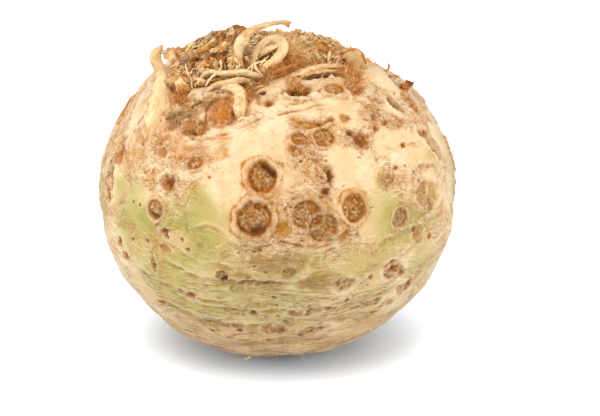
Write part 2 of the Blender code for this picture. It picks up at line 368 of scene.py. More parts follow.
flow = ground[:, 2] + 3.2 * noise(ground, 30, 20) + 1.1 * noise(ground, 11, 21)
for number, (turn, lift, wide, tall, lean, deep, lip, brown) in enumerate(ROOT_SCARS):
    near, x, y = patch(turn, lift, 3.2 * max(wide, tall))
    c, s = math.cos(math.radians(lean)), math.sin(math.radians(lean))
    u, v = (x * c + y * s) / wide, (y * c - x * s) / tall
    spot = ground[near]
    size = (wide + tall) / 2
    q = np.hypot(u, v) * (1 + 0.14 * noise(spot, 0.9 * size, number) + 0.07 * noise(spot, 1.6, number + 50))
    inside = 1 - step(q, 0.80, 1.0)
    lip_ring = bell(q, 1.17, 0.17)
    moat = bell(q, 0.93, 0.07) * np.clip(0.75 + 0.8 * noise(spot, 1.1 * size, number + 66), 0.25, 1)
    rings = np.cos(q * 16 + 2 * noise(spot, 2.4, number + 80))
    wrinkles = np.cos(q * 34 + 3 * noise(spot, 3.0, number + 85)) * bell(q, 1.25, 0.22)
    crumble = layered(spot, 0.9, 2, number + 90)
    height[near] += (
        0.45 * lip * (1 - step(q, 1.0, 2.1))
        + lip * lip_ring * (1 + 0.45 * noise(spot, 2.2, number + 70))
        + 0.16 * lip * wrinkles
        - 0.8 * deep * moat
        - 0.55 * deep * inside
        + inside * np.minimum(size / 4, 1) * (0.55 * crumble + 0.13 * rings)
    )
    broken = np.clip(0.55 + 0.5 * noise(spot, 2.2, number + 60), 0.15, 1)
    tint("brown", near, brown * (0.75 + 0.25 * rings) * (1 - step(q, 0.92, 1.22)))
    # Painted shade in the moat and in the low crannies of the plug.
    tint("dark", near, brown * broken * np.maximum(moat, 0.8 * inside * step(-crumble, 0.1, 0.4)))
    tint("orange", near, 0.75 * brown * bell(q, 1.06, 0.28) * step(noise(spot, 3, number + 40), -0.8, 0.3))
    tint("crack", near, 0.8 * brown * bell(q, 1.4, 0.035) * step(noise(spot, 4, number + 45), -0.4, 0.2))
    tint("brown", near, 0.55 * brown * np.clip(-wrinkles, 0, 1))
    patchy = np.clip(0.45 + 0.8 * noise(spot, 1.4 * size, number + 30), 0, 1)
    pale_crumbs = 0.5 * inside * step(crumble, 0.15, 0.6)
    tint("pale", near, brown**0.5 * np.maximum(0.6 * patchy * lip_ring, pale_crumbs))
    tint("rose", near, 0.35 * brown * (1 - patchy) * bell(q, 1.28, 0.2))
    tint("grey", near, 0.4 * brown * inside * step(noise(spot, 0.8 * size, number + 33), -0.5, 0.4))
    tint("tan", near, brown * (1 - step(q, 1.2, 1.75)) * step(noise(spot, 3.5, number + 35), -0.8, 0.1))
    tint("crumb", near, 1 - step(q, 0.95, 1.15))
    if number in GAPS:
        way, width, depth = GAPS[number]
        a = math.radians(way)
        along = u * math.cos(a) + v * math.sin(a)
        gap = bell(q, 0.72, 0.22) * step(along / np.maximum(q, 0.05), 1 - width, 1 - 0.4 * width)
        height[near] -= depth * gap
        # Painted shade in the gap that crumbled out.
        tint("dark", near, 0.9 * gap)
    outside = np.maximum(x**2 / wide**2 + y**2 / tall**2, 0.6)
    flow[near] -= 1.5 * y / outside * (1 - step(np.sqrt(outside), 1.6, 2.6))

# ------------------------------------------------------------------ pits and hollows
# Small side roots left pinholes and torn hollows. Each is dark inside, with soil and old bark and with
# painted shade that is darker in deeper pits, and has a crumbly brown edge with a thin pale rim round it.

PITS = (  # turn, lift, half width, half height, depth
    (-40, 19, 2.8, 3.0, 1.8), (-39, 3.5, 1.5, 1.2, 1.3), (-38, 2, 1.0, 0.8, 1.1),
    (-32.5, 2, 0.7, 0.7, 0.7), (17, 20, 1.5, 1.7, 2.0), (19.5, 24.5, 1.2, 3.4, 1.9),
    (13, 56.5, 5.4, 2.6, 3.4), (35.5, 34.5, 2.9, 3.4, 1.5), (32.5, 37.5, 1.6, 1.3, 1.6),
    (65.5, 42, 1.5, 2.8, 1.6), (-38, 38, 3.0, 1.6, 1.2), (-21, 46.5, 1.3, 1.2, 1.6),
    (-23, 52, 0.9, 0.8, 1.0), (-62, -6.5, 1.2, 1.8, 1.1), (-59, -10.5, 1.7, 1.4, 0.9),
    (-30.5, -19, 1.8, 1.2, 0.9), (-35, -18, 1.2, 0.9, 0.7), (-8.5, -24, 1.3, 1.1, 1.3),
    (53, -20, 1.7, 2.2, 1.8), (42, -10.5, 2.6, 1.2, 1.4), (46.5, -13.5, 1.6, 1.3, 1.1),
    (-27.5, -36, 1.6, 0.8, 1.0), (-9.5, -9, 0.9, 0.6, 0.5), (-44.5, -9.5, 0.9, 2.6, 0.9),
    (-5.5, 1.5, 1.1, 0.6, 0.6), (34, 43, 0.9, 0.8, 0.8), (-11.5, 54.5, 1.2, 1.0, 1.0),
    (-4, 51.5, 1.4, 1.2, 1.0), (-19, 53.5, 1.6, 1.2, 1.6), (-64.5, 46.5, 1.2, 1.0, 0.8),
    (-69.5, 33.5, 1.0, 1.6, 0.8), (32.5, -11.5, 0.8, 0.8, 0.7), (25.5, -11.5, 0.9, 0.7, 0.6),
    (22, -14, 0.8, 0.7, 0.7), (29.5, -24, 1.8, 0.7, 1.0), (36, -23, 1.4, 0.7, 0.9),
    (3, -28.5, 1.6, 0.7, 0.9), (18, -33.5, 1.6, 0.8, 1.1), (10.5, -36, 1.3, 0.8, 1.0),
    (-3, -40, 1.8, 0.7, 1.0), (-15, -33.5, 1.1, 0.8, 1.0), (-20, -39, 1.6, 0.7, 0.9),
    (-47.5, -26.5, 1.3, 0.8, 0.9), (46.5, -26.5, 1.3, 0.8, 0.9), (40, -29.5, 1.8, 0.7, 1.0),
    (9.5, 30.5, 0.8, 0.6, 0.5), (50.5, 1, 0.9, 1.1, 0.7), (59, -4, 0.9, 1.3, 0.7),
    (55, 28.5, 1.1, 0.9, 0.8), (48.5, 41, 2.1, 1.6, 1.0), (45.5, 37, 1.3, 1.2, 0.9),
    (74, 1, 1.0, 1.4, 0.9), (84, 30, 1.8, 1.5, 1.2), (104, 2, 1.5, 1.2, 1.1), (112, 16, 1.4, 1.8, 1.2),
    (137, 34, 2.4, 1.8, 1.6), (151, 2, 1.3, 1.0, 1.0), (154, 22, 2.0, 1.6, 1.4),
    (-176, -16, 1.6, 1.1, 1.0), (-160, 12, 1.5, 1.9, 1.2), (-152, 38, 2.6, 2.0, 1.7),
    (-133, -10, 1.4, 1.1, 1.0), (-112, 16, 1.6, 1.4, 1.1), (-90, 32, 2.0, 1.6, 1.3),
    (-82.5, -16, 1.5, 1.1, 1.0), (80, -18, 1.4, 1.0, 0.9), (122, -26, 1.6, 0.9, 1.0),
    (-106, -26, 1.7, 0.9, 1.0),
)
random_pits = np.random.default_rng(21)
SMALL_PITS = [
    (random_pits.uniform(-180, 180), math.degrees(math.asin(random_pits.uniform(-0.85, 0.7))),
     size, size * random_pits.uniform(0.5, 0.9), 0.9 * size)
    for size in random_pits.uniform(0.4, 1.0, 170)
]
for number, (turn, lift, wide, tall, deep) in enumerate([*PITS, *SMALL_PITS]):
    near, x, y = patch(turn, lift, 3.4 * max(wide, tall))
    spot = ground[near]
    ragged = 1 + 0.35 * noise(spot, 2.2, number + 7) + 0.25 * noise(spot, 1.0, number)
    q = np.hypot(x / wide, y / tall) * ragged
    crumbs = noise(spot, 1.1, number + 9)
    height[near] += 0.22 * min(deep, 1) * bell(q, 1.35, 0.3) * (1 + crumbs) - deep * (1 - step(q, 0.3, 1.1))
    height[near] += 0.3 * min(deep, 1) * (1 - step(q, 0.7, 1.2)) * crumbs
    shadow = min(0.75, 0.25 + 0.25 * deep)
    tint("dark", near, shadow * (1 - step(q, 0.3, 0.85)) * (1 - step(crumbs, 0.1, 0.5)))
    tint("brown", near, 0.85 * (1 - step(q, 0.85, 1.5)) * step(noise(spot, 2, number + 3), -0.9, 0.1))
    tint("orange", near, 0.5 * bell(q, 1.1, 0.35) * step(noise(spot, 2.4, number + 5), -0.2, 0.5))
    tint("pale", near, 0.5 * np.maximum(bell(q, 1.6, 0.3), (1 - step(q, 0.9, 1.2)) * step(crumbs, 0.2, 0.6)))
    tint("crumb", near, 0.7 * (1 - step(q, 1.2, 1.8)))
    tint("crack", near, 0.7 * bell(q, 1.45, 0.06) * step(noise(spot, 3, number + 8), -0.3, 0.2))

# ------------------------------------------------------------------ scabs
# Patches of corky, pitted bark where the skin split and healed: brown crumbs over cream flesh.
# The rough ones are all cork. The faint ones are warm stains with hardly any cork in them.

SCABS = (  # turn, lift, half width, half height, lean, roughness, brown, orange, grey
    (-73, 19, 4.2, 9.5, 8, 0.9, 0.75, 0.5, 0.1), (-69.5, 7.5, 2.6, 4.5, -8, 0.6, 0.6, 0.3, 0.0),
    (18, 25, 5.0, 3.4, -40, 0.6, 0.85, 0.3, 0.0), (71.5, 24, 4.2, 8.0, 10, 1.0, 0.8, 0.3, 0.1),
    (80, 37, 4.5, 6.0, 0, 1.2, 0.85, 0.6, 0.0), (55, 44, 6.5, 4.5, 0, 0.7, 0.6, 0.7, 0.15),
    (66.5, 42, 2.4, 5.2, 0, 0.6, 0.4, 0.0, 0.9), (-27.5, 47, 6.6, 6.0, 0, 0.3, 0.5, 1.0, 0.0),
    (-38, 39, 6.4, 4.2, 15, 0.9, 0.9, 0.8, 0.1), (-45, 43.5, 4.6, 11.5, -42, 0.8, 0.85, 0.2, 1.0),
    (-31.5, 51, 7.0, 4.6, 30, 0.6, 0.5, 0.45, 0.15), (-48.5, 46.5, 3.0, 5.0, -20, 0.7, 0.6, 0.3, 0.1),
    (-48.5, 29.5, 4.0, 5.0, 20, 0.5, 0.6, 0.4, 0.2), (60, 10.5, 6.0, 7.5, 15, 0.6, 0.45, 0.1, 0.2),
    (42, -10.5, 5.5, 3.8, 10, 0.8, 0.75, 0.5, 0.1), (23, -12.5, 4.8, 3.2, 15, 0.5, 0.5, 0.3, 0.2),
    (-5.5, -10.5, 7.0, 1.7, 3, 0.5, 0.6, 0.2, 0.3), (-30.5, -19, 4.5, 1.7, -6, 0.5, 0.55, 0.3, 0.3),
    (-21, -30.5, 9.0, 2.6, -4, 0.7, 0.7, 0.4, 0.2), (-1, -33.5, 5.0, 3.4, 0, 0.7, 0.85, 0.4, 0.0),
    (15, -33.5, 6.0, 2.4, 3, 0.7, 0.8, 0.4, 0.1), (10.5, -24, 6.5, 2.4, 4, 0.6, 0.6, 0.4, 0.2),
    (36, -24, 6.0, 2.6, 8, 0.8, 0.8, 0.4, 0.2), (51.5, -21, 4.2, 3.8, 15, 0.8, 0.7, 0.4, 0.3),
    (53, -1, 3.4, 4.2, 40, 0.5, 0.5, 0.1, 0.2), (57, 37, 6.0, 4.0, -20, 0.7, 0.7, 0.6, 0.2),
    (-5.5, 52.5, 4.2, 3.0, 0, 0.5, 0.6, 0.5, 0.0), (15, 43, 7.0, 1.8, -6, 0.6, 0.75, 0.5, 0.2),
    (11.5, 36, 8.0, 5.0, -10, 0.4, 0.35, 0.7, 0.0), (-38, 26.5, 6.0, 3.6, 20, 0.4, 0.35, 0.3, 0.1),
    (98, 34, 6.0, 6.5, 0, 0.9, 0.7, 0.3, 0.2), (110, 8, 4.0, 6.0, 0, 0.7, 0.6, 0.3, 0.1),
    (132, 26, 6.0, 4.5, 0, 0.9, 0.7, 0.4, 0.2), (158, 34, 5.5, 4.0, 0, 0.8, 0.7, 0.5, 0.1),
    (-172, 14, 4.5, 5.5, 0, 0.7, 0.6, 0.3, 0.2), (-146, 6, 5.0, 3.8, 0, 0.7, 0.6, 0.4, 0.1),
    (-130, 38, 6.5, 5.0, 0, 0.9, 0.7, 0.4, 0.3), (-110, 38, 4.5, 6.0, 0, 0.8, 0.6, 0.3, 0.1),
    (-92, 4, 4.0, 6.5, 0, 0.7, 0.6, 0.3, 0.1), (84, -18, 6.0, 2.4, 0, 0.6, 0.6, 0.3, 0.2),
    (118, -16, 6.5, 2.6, 0, 0.6, 0.6, 0.3, 0.2), (150, -22, 6.0, 2.2, 0, 0.6, 0.6, 0.3, 0.1),
    (-165, -22, 7.0, 2.4, 0, 0.6, 0.6, 0.3, 0.2), (-140, -30, 7.0, 2.6, 0, 0.7, 0.7, 0.4, 0.1),
    (-110, -14, 6.5, 2.4, 0, 0.6, 0.6, 0.3, 0.2), (-84, -24, 7.0, 2.4, 0, 0.6, 0.6, 0.4, 0.1),
    (14, 29, 7.5, 5.5, -20, 0.35, 0.5, 0.45, 0.0), (2, -4, 12, 4.5, 0, 0.35, 0.4, 0.1, 0.45),
    (15, -11, 10, 4.0, 5, 0.4, 0.5, 0.15, 0.4), (-14, -10, 8.0, 3.0, 0, 0.3, 0.35, 0.1, 0.35),
    (-71, 11, 3.4, 8.0, 6, 0.9, 0.8, 0.6, 0.0), (-50, 36, 7.0, 5.0, 0, 0.3, 0.4, 0.8, 0.1),
    (-36, 30, 6.0, 4.0, 10, 0.3, 0.4, 0.7, 0.0), (-47, 31, 9.0, 7.5, 10, 0.2, 0.3, 0.25, 0.1),
    (-60, 27, 5.0, 7.0, 0, 0.2, 0.3, 0.2, 0.1), (8, 9, 12.0, 9.0, 0, 0.15, 0.3, 0.3, 0.1),
    (-5, 18, 9.0, 10.0, 0, 0.15, 0.2, 0.3, 0.0), (12, 15, 9.0, 6.0, -10, 0.25, 0.45, 0.35, 0.3),
    (15, 10, 8.0, 6.0, 10, 0.25, 0.4, 0.2, 0.4), (48, 41, 8.0, 5.0, -10, 0.45, 0.4, 0.8, 0.1),
    (-57, 42, 4.0, 4.0, 0, 0.4, 0.3, 0.7, 0.0), (-24, 31, 6.0, 3.0, 20, 0.25, 0.3, 0.6, 0.0),
)
ALL_CORK = 0.6  # the roughness from which a scab is all cork
LOW_SCABS = -5  # degrees: below here rough scabs are all cork too, and browner
for number, (turn, lift, wide, tall, lean, rough, brown, orange, grey) in enumerate(SCABS):
    near, x, y = patch(turn, lift, 1.7 * max(wide, tall))
    c, s = math.cos(math.radians(lean)), math.sin(math.radians(lean))
    spot = ground[near]
    q = np.hypot((x * c + y * s) / wide, (y * c - x * s) / tall)
    q += 0.28 * noise(spot, 3.6, number + 11) + 0.16 * noise(spot, 1.7, number + 12)
    inside = 1 - step(q, 0.62, 1.05)
    far, which = pebbles(spot, 1.9, number + 13)
    crumbs = layered(spot, 2.4, 2, number + 14)
    hole = (1 - step(far, 0.16, 0.34)) * (which > 0.45)
    corky = min(1, (rough / ALL_CORK) ** 2)
    if lift < LOW_SCABS and rough >= 0.5:
        corky = 1
        brown *= 1.35
    height[near] += rough * inside * (0.55 * crumbs - 0.9 * corky * hole - 0.25)
    height[near] += 0.3 * rough * bell(q, 1.02, 0.14)
    tint("brown", near, brown * inside * np.clip(0.62 + 0.55 * noise(spot, 3.1, number + 15), 0, 1))
    # Painted shade in the cork's holes and in the low places between its crumbs.
    shadow = 0.85 * corky * min(1, brown * 1.2)
    tint("dark", near, shadow * inside * np.maximum(hole, step(-crumbs, 0.35, 0.8)))
    tint("pale", near, 0.8 * corky * np.maximum(inside * step(crumbs, 0.25, 0.7), 0.6 * bell(q, 1.06, 0.12)))
    tint("tan", near, 0.7 * (1 - corky) * inside)
    tint("orange", near, orange * inside * step(noise(spot, 4.4, number + 16), -0.35, 0.45))
    tint("grey", near, grey * inside * step(noise(spot, 3.4, number + 17), -0.55, 0.25))
    tint("crumb", near, (0.55 + 0.45 * rough) * corky * inside)

# One root foot healed over into a shiny orange-brown wart with a painted highlight on its lower rim; two
# others sank into ochre dimples.
WARTS = (  # turn, lift, half width, half height, height, orange
    (-28, 46, 5.8, 5.4, 1.5, 1.0), (1.5, 8.5, 3.6, 3.2, -1.0, 0.25), (23, 5.5, 3.0, 2.8, -0.7, 0.1),
    (-62, 31, 4.5, 4.0, 0.6, 0.4), (74, 30, 4.0, 4.5, 0.7, 0.3), (-19, 51, 2.8, 7.5, 1.5, 0.15),
    (-59, 33, 4.2, 4.6, 0.9, 0.0),
)
for number, (turn, lift, wide, tall, rise, orange) in enumerate(WARTS):
    near, x, y = patch(turn, lift, 1.6 * max(wide, tall))
    spot = ground[near]
    q = np.hypot(x / wide, y / tall) * (1 + 0.18 * noise(spot, 3.5, number + 150))
    dome = 1 - step(q, 0.15, 1.05)
    folds = noise(np.stack([x + 0.9 * noise(spot, 3, number + 156), 0.4 * y, 0 * x], 1), 1.7, number + 157)
    height[near] += dome * (rise + orange * (1.1 * folds + 0.5 * noise(spot, 3.2, number + 155)))
    below = step(-y / tall, -0.1, 0.6)
    covered = 1 - step(q, 0.65, 1.08)
    for name in ("pale", "grey", "rose"):
        stain[name][near] *= 1 - 0.9 * orange * covered
    stain["crumb"][near] *= 1 - 0.8 * orange * dome
    tint("orange", near, 0.95 * orange * covered * step(folds, -0.9, 0.1))
    tint("brown", near, orange * covered * step(-folds, -0.2, 0.3))
    side_rim = 0.8 * bell(q, 0.98, 0.09) * step(np.abs(x) / wide, 0.4, 0.8)
    tint("dark", near, orange * np.maximum(0.7 * covered * step(-folds, 0.35, 0.7), side_rim))
    tint("tan", near, dome * (0.9 if rise < 0 else 0.5 - 0.4 * orange))
    if rise < 0:
        tint("ochre", near, covered)
    # Painted highlight: the lower rim of the shiny wart is made rose and pale.
    tint("rose", near, orange * below * bell(q, 0.98, 0.2))
    tint("crack", near, orange * bell(q, 1.0, 0.07) * np.clip(0.4 + noise(spot, 3, number + 170), 0, 1))
    tint("pale", near, 0.7 * orange * below * bell(q, 1.25, 0.12))

# ------------------------------------------------------------------ seams and cracks
# The skin stretched as the root swelled. It folded into long seams between the old root feet,
# and on the lower half it split into many thin brown cracks that run round the body.


def skin_point(turn, lift):
    return ground[int(np.argmax(rays @ towards(turn, lift)))]


def seam(places, width, deep, lip, brown, seed):
    """A fold along a line of (turn, lift) places, with a raised lip on its upper side."""
    line = np.array([skin_point(turn, lift) for turn, lift in places])
    low, high = line.min(0) - 4, line.max(0) + 4
    near = np.flatnonzero(((ground > low) & (ground < high)).all(1))
    spot = ground[near] + 0.9 * np.stack([noise(ground[near], 5, seed + n) for n in range(3)], 1)
    best = np.full(len(near), 99.0)
    above = np.zeros(len(near))
    along = np.zeros(len(near))
    for n in range(len(line) - 1):
        a, b = line[n], line[n + 1]
        t = np.clip((spot - a) @ (b - a) / ((b - a) @ (b - a)), 0, 1)
        gap = spot - a - t[:, None] * (b - a)
        far = np.linalg.norm(gap, axis=1)
        closer = far < best
        best = np.where(closer, far, best)
        above = np.where(closer, gap[:, 2], above)
        along = np.where(closer, (n + t) / (len(line) - 1), along)
    fade = step(along, 0, 0.12) * (1 - step(along, 0.88, 1))
    fade *= np.clip(0.8 + 0.5 * noise(spot, 6, seed + 4), 0.2, 1)
    groove = np.exp(-((best / (0.5 * width)) ** 2)) * fade
    lip *= 0.5 + 0.3 * noise(spot, 4, seed + 5) + 0.35 * noise(spot, 1.5, seed + 7)
    side = np.sign(above) * best
    height[near] += lip * fade * bell(side, 1.6 * width, 1.3 * width) - deep * groove
    tint("crack", near, brown * groove)
    twin = bell(side, -1.7 * width - 0.6 * noise(spot, 4, seed + 8), 0.3)
    twin *= step(noise(spot, 5, seed + 9), -0.2, 0.2)
    height[near] -= 0.3 * fade * twin
    tint("crack", near, 0.8 * brown * fade * twin)
    tan_band = bell(side, -1.2 * width, 1.6 * width) * step(noise(spot, 5, seed + 6), -0.5, 0.3)
    tint("tan", near, brown * fade * tan_band)
    tint("pale", near, 0.45 * fade * bell(side, 1.8 * width, width))
    low = 1 - step(spot[:, 2], -16, -4)
    olive_band = bell(side, -1.5 * width, 1.8 * width) * step(noise(spot, 7, seed + 3), -0.3, 0.3)
    tint("olive", near, low * fade * olive_band)


SEAMS = (  # places, width, depth, lip, brown
    (((-31.5, 34.5), (-26.5, 38), (-20, 39), (-10.5, 44), (6.5, 48.5), (21, 49.5),
      (29.5, 48.5)), 0.8, 0.7, 0.7, 0.8),
    (((-40, 31.5), (-29.5, 33.5), (-21, 37), (-12.5, 41)), 0.6, 0.4, 0.4, 0.5),
    (((4, 46.5), (12.5, 44), (21, 42.5), (28.5, 43)), 1.1, 0.8, 0.9, 0.9),
    (((-8.5, 46.5), (4, 45), (10.5, 46.5), (19, 45)), 0.5, 0.35, 0.4, 0.5),
    (((21, 51.5), (29.5, 51.5), (38, 50.5), (46.5, 51.5)), 0.6, 0.5, 0.5, 0.6),
    (((5.5, 60), (15, 61), (25.5, 60.5), (36, 61), (46.5, 59)), 0.7, 0.6, 0.7, 0.7),
    (((-3, 57), (4, 53.5), (15, 52), (25.5, 52)), 0.7, 0.5, 0.6, 0.5),
    (((38, 42), (46.5, 40), (55, 38), (63.5, 36), (69.5, 33.5)), 0.6, 0.6, 0.5, 0.7),
    (((42, 31.5), (49.5, 29.5), (57, 28.5), (63.5, 26.5)), 0.6, 0.6, 0.6, 0.7),
    (((-63.5, 28.5), (-59, 22), (-55, 16)), 0.5, 0.3, 0.3, 0.4),
    (((-69.5, 32.5), (-61, 31.5), (-53, 24), (-47.5, 20)), 0.6, 0.4, 0.4, 0.5),
    (((-1, 31.5), (4, 29.5), (8.5, 27.5), (13.5, 30.5), (21, 31.5)), 0.5, 0.35, 0.35, 0.5),
    (((2, 21), (6.5, 20), (12.5, 21), (18, 18), (22, 11.5)), 0.6, 0.5, 0.5, 0.6),
    (((-13.5, 3), (-6.5, 2), (2, 4), (10.5, 2.5), (19, 4), (25.5, 6.5)), 0.7, 0.8, 0.7, 0.8),
    (((-29.5, 5.5), (-23, 7.5), (-17, 5.5), (-12.5, 2), (-7.5, 0)), 0.7, 0.6, 0.5, 0.5),
    (((-2, 2), (6.5, 0.5), (15, -1), (23, 2), (29.5, 5.5)), 0.6, 0.5, 0.5, 0.4),
    (((-42, -4), (-35, -8.5), (-26.5, -10.5), (-19, -11.5), (-12.5, -10), (-5.5, -10.5), (3, -11),
      (10.5, -10.5)), 0.6, 0.7, 0.5, 0.9),
    (((-38, 0), (-31.5, -3), (-25.5, -5.5), (-19, -4.5), (-12.5, -5.5)), 0.5, 0.5, 0.4, 0.6),
    (((-55, -11.5), (-46.5, -16), (-38, -17), (-29.5, -20), (-20, -20), (-12.5, -19)), 0.6, 0.7, 0.5, 0.8),
    (((-42, -19), (-32.5, -22), (-23, -23), (-12.5, -23), (-2, -23), (6.5, -22)), 0.6, 0.6, 0.5, 0.8),
    (((-49.5, -22), (-40, -27.5), (-29.5, -30.5), (-19, -30.5), (-8.5, -30.5), (0, -29.5),
      (8.5, -30.5)), 0.7, 0.8, 0.6, 0.8),
    (((6.5, -19), (15, -21), (23, -22), (31.5, -22), (40, -20), (48.5, -18)), 0.6, 0.6, 0.5, 0.7),
    (((17, -28.5), (25.5, -29.5), (34, -29.5), (42, -26.5), (50.5, -23)), 0.6, 0.7, 0.5, 0.8),
    (((36, -8.5), (42, -7.5), (48.5, -5.5), (56, -3), (63.5, 1)), 0.6, 0.6, 0.5, 0.7),
    (((34, 0), (40, 1), (48.5, 2), (57, 2), (65.5, 5.5), (71.5, 8.5)), 0.5, 0.4, 0.4, 0.5),
    (((53, 18), (59, 20), (65.5, 18), (69.5, 11.5), (66.5, 4), (59, 1)), 0.8, 0.8, 0.9, 0.7),
    (((55, 11.5), (58, 14.5), (63.5, 12.5), (63.5, 7.5), (58, 6.5)), 0.7, 0.6, 0.6, 0.3),
    (((79, 20), (88, 23), (100, 21), (110, 24)), 0.6, 0.5, 0.5, 0.6),
    (((84, 2), (95, 3), (106, -3), (118, -4)), 0.6, 0.5, 0.5, 0.6),
    (((120, 22), (132, 16), (140, 10), (152, 9), (164, 13)), 0.7, 0.6, 0.6, 0.7),
    (((150, 28), (162, 30), (174, 22), (-174, 20)), 0.7, 0.6, 0.6, 0.7),
    (((-178, 0), (-166, 4), (-158, 4), (-146, 0), (-134, 2)), 0.6, 0.6, 0.5, 0.7),
    (((-146, 28), (-134, 32), (-122, 28), (-112, 32), (-98, 34)), 0.7, 0.6, 0.6, 0.7),
    (((-112, -2), (-102, 2), (-90, 0), (-80, 3), (-74, -1)), 0.6, 0.5, 0.5, 0.6),
)
for number, (places, width, deep, lip, brown) in enumerate(SEAMS):
    seam(places, width, deep, lip, brown, 200 + 9 * number)

low_half = 1 - step(ground[:, 2], -8, 12)
under = 1 - step(ground[:, 2], -42, -18)
calm = 1 - np.clip(stain["crumb"] + stain["crown"], 0, 1)
running = np.stack([ground[:, 0] / 16, ground[:, 1] / 16, flow / 4.2], 1)
running_fine = np.stack([ground[:, 0] / 9, ground[:, 1] / 9, flow / 2.1], 1)
fold = noise(running, 1, 40)
fold_fine = noise(running_fine, 1, 41)
level = step(np.abs(noise(running + (0, 0, 0.12), 1, 40) - fold), 0.07, 0.2)
level_fine = step(np.abs(noise(running_fine + (0, 0, 0.12), 1, 41) - fold_fine), 0.07, 0.2)
shown = step(noise(ground, 13, 42) + 0.55 * low_half + 0.5 * under, -0.1, 0.6)
crack = np.exp(-((fold / 0.06) ** 2)) * shown * calm * level
crack_fine = np.exp(-((fold_fine / 0.085) ** 2)) * step(noise(ground, 8, 43) + 0.7 * under, 0.0, 0.6)
crack_fine *= low_half * calm * level_fine
height += 0.35 * low_half * calm * fold - 0.45 * (0.25 + 0.75 * low_half) * crack - 0.3 * crack_fine
height += 0.25 * under * noise(running_fine * 1.6, 1, 44)
tint("crack", ALL, np.maximum(crack * (0.15 + 0.8 * low_half), 0.8 * crack_fine))
beside = np.exp(-(((fold - 0.16) / 0.07) ** 2)) * shown * calm * level * low_half
tint("pale", ALL, 0.7 * beside)
height += 0.15 * beside
tint("brown", ALL, 0.42 * under * step(noise(running * (1, 1, 1.4), 1, 45), -0.15, 0.4))
tint("tan", ALL, 0.85 * under * step(noise(running * (1, 1, 1.2), 1, 46), -0.4, 0.2))
tint("ochre", ALL, 0.5 * under * step(noise(running * (1, 1, 0.8), 1, 47), -0.5, 0.3))

# The skin greened where the light reached it, in a band round the lower half.
GREENED = (  # turn, lift, radius in millimetres, strength
    (-53, 4, 17, 1.0), (-34, 3, 18, 1.0), (-19, 5.5, 12, 0.9), (-29.5, 13.5, 11, 0.9),
    (-61, 13.5, 9, 0.9), (-42, -13.5, 18, 0.7), (-12.5, -9.5, 18, 0.75), (44.5, 5.5, 15, 0.8),
    (35, 11.5, 9, 0.7), (58, 5.5, 12, 0.8), (40, 20, 6, 0.5), (65.5, 20, 6, 0.5), (8.5, -7.5, 15, 0.6),
    (31.5, -9.5, 16, 0.6), (58, -11.5, 14, 0.6), (0, -22, 22, 0.55), (95, 0, 26, 0.9), (130, 4, 22, 0.8),
    (165, -4, 28, 0.9), (-150, 6, 26, 0.9), (-115, 2, 24, 0.8), (-85, 2, 20, 0.8), (-29.5, -24, 16, 0.6),
    (34, -22, 14, 0.6),
)
greened = np.zeros(COUNT)
for turn, lift, size, strength in GREENED:
    away = np.linalg.norm(ground - skin_point(turn, lift), axis=1) / size
    greened = 1 - (1 - greened) * (1 - strength * (1 - step(away, 0.35, 1.05)))
greened *= np.clip(0.85 + 0.7 * noise(ground, 14, 50) + 0.3 * noise(ground, 5, 51), 0, 1)
stain["green"] = greened * (1 - 0.85 * stain["crown"])

# ------------------------------------------------------------------ raising the skin
# All the swellings and hollows are added up and raised straight out from the ball. The trimmed
# leaf end is kept flat to stand on. The skin then takes the place of the body's plain solid.

height = np.where(ground[:, 2] < -MIDDLE[2] + 1.5, np.minimum(height, 0), height)
shape = ground + ground_out * height[:, None]
shape[:, 2] = np.maximum(shape[:, 2], -MIDDLE[2])
soft_height = blurred(height, 14)
cavity = height - soft_height
skin_out = outward(shape)
skin_mesh.vertices.foreach_set("co", ((shape + MIDDLE) * MM).ravel())
skin_mesh.update()


def keep_on(mesh, name, values):
    """Keeps a value for each point of a mesh, for its material to read."""
    held = mesh.attributes.new(name, "FLOAT", "POINT")
    held.data.foreach_set("value", np.ascontiguousarray(values, np.float32))


def keep_place(mesh, name, places):
    """Keeps a place for each point of a mesh, for its material to read."""
    held = mesh.attributes.new(name, "FLOAT_VECTOR", "POINT")
    held.data.foreach_set("vector", places.astype(np.float32).ravel())


for name, amount in stain.items():
    keep_on(skin_mesh, name, np.clip(amount, 0, 1))
keep_on(skin_mesh, "cavity", np.clip(cavity, -1, 1))
keep_place(skin_mesh, "running_round", np.stack([ground[:, 0], ground[:, 1], flow], 1))
skin_mesh.polygons.foreach_set("use_smooth", [True] * len(skin_mesh.polygons))
skin = bpy.data.objects.new("celeriac_skin", skin_mesh)
bpy.context.scene.collection.objects.link(skin)
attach(skin, "root")
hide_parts("celeriac_body")

# ------------------------------------------------------------------ the skin's finish
# Thin dry skin: cream where it is smooth, tan and wrinkled where it is leathery, green where the
# light reached it, and brown where bark, crumbs and cracks are. It is nearly dull all over.


def wire(tree, source, sink):
    tree.links.new(source, sink)


def new_node(tree, kind, inputs=None, **settings):
    """Adds a shader node. inputs gives a value or a socket for each named or numbered input."""
    node = tree.nodes.new("ShaderNode" + kind)
    for name, value in settings.items():
        setattr(node, name, value)
    for key, value in (inputs or {}).items():
        if isinstance(value, bpy.types.NodeSocket):
            tree.links.new(value, node.inputs[key])
        else:
            node.inputs[key].default_value = value
    return node


def sums(tree, operation, a, b=0.0):
    return new_node(tree, "Math", {0: a, 1: b}, operation=operation).outputs[0]


def product(tree, a, b):
    return sums(tree, "MULTIPLY", a, b)


def largest(tree, a, b):
    return sums(tree, "MAXIMUM", a, b)


def rest_of(tree, share):
    return sums(tree, "SUBTRACT", 1.0, share)


def scaled(tree, place, amounts):
    return new_node(tree, "VectorMath", {0: place, 1: amounts}, operation="MULTIPLY").outputs[0]


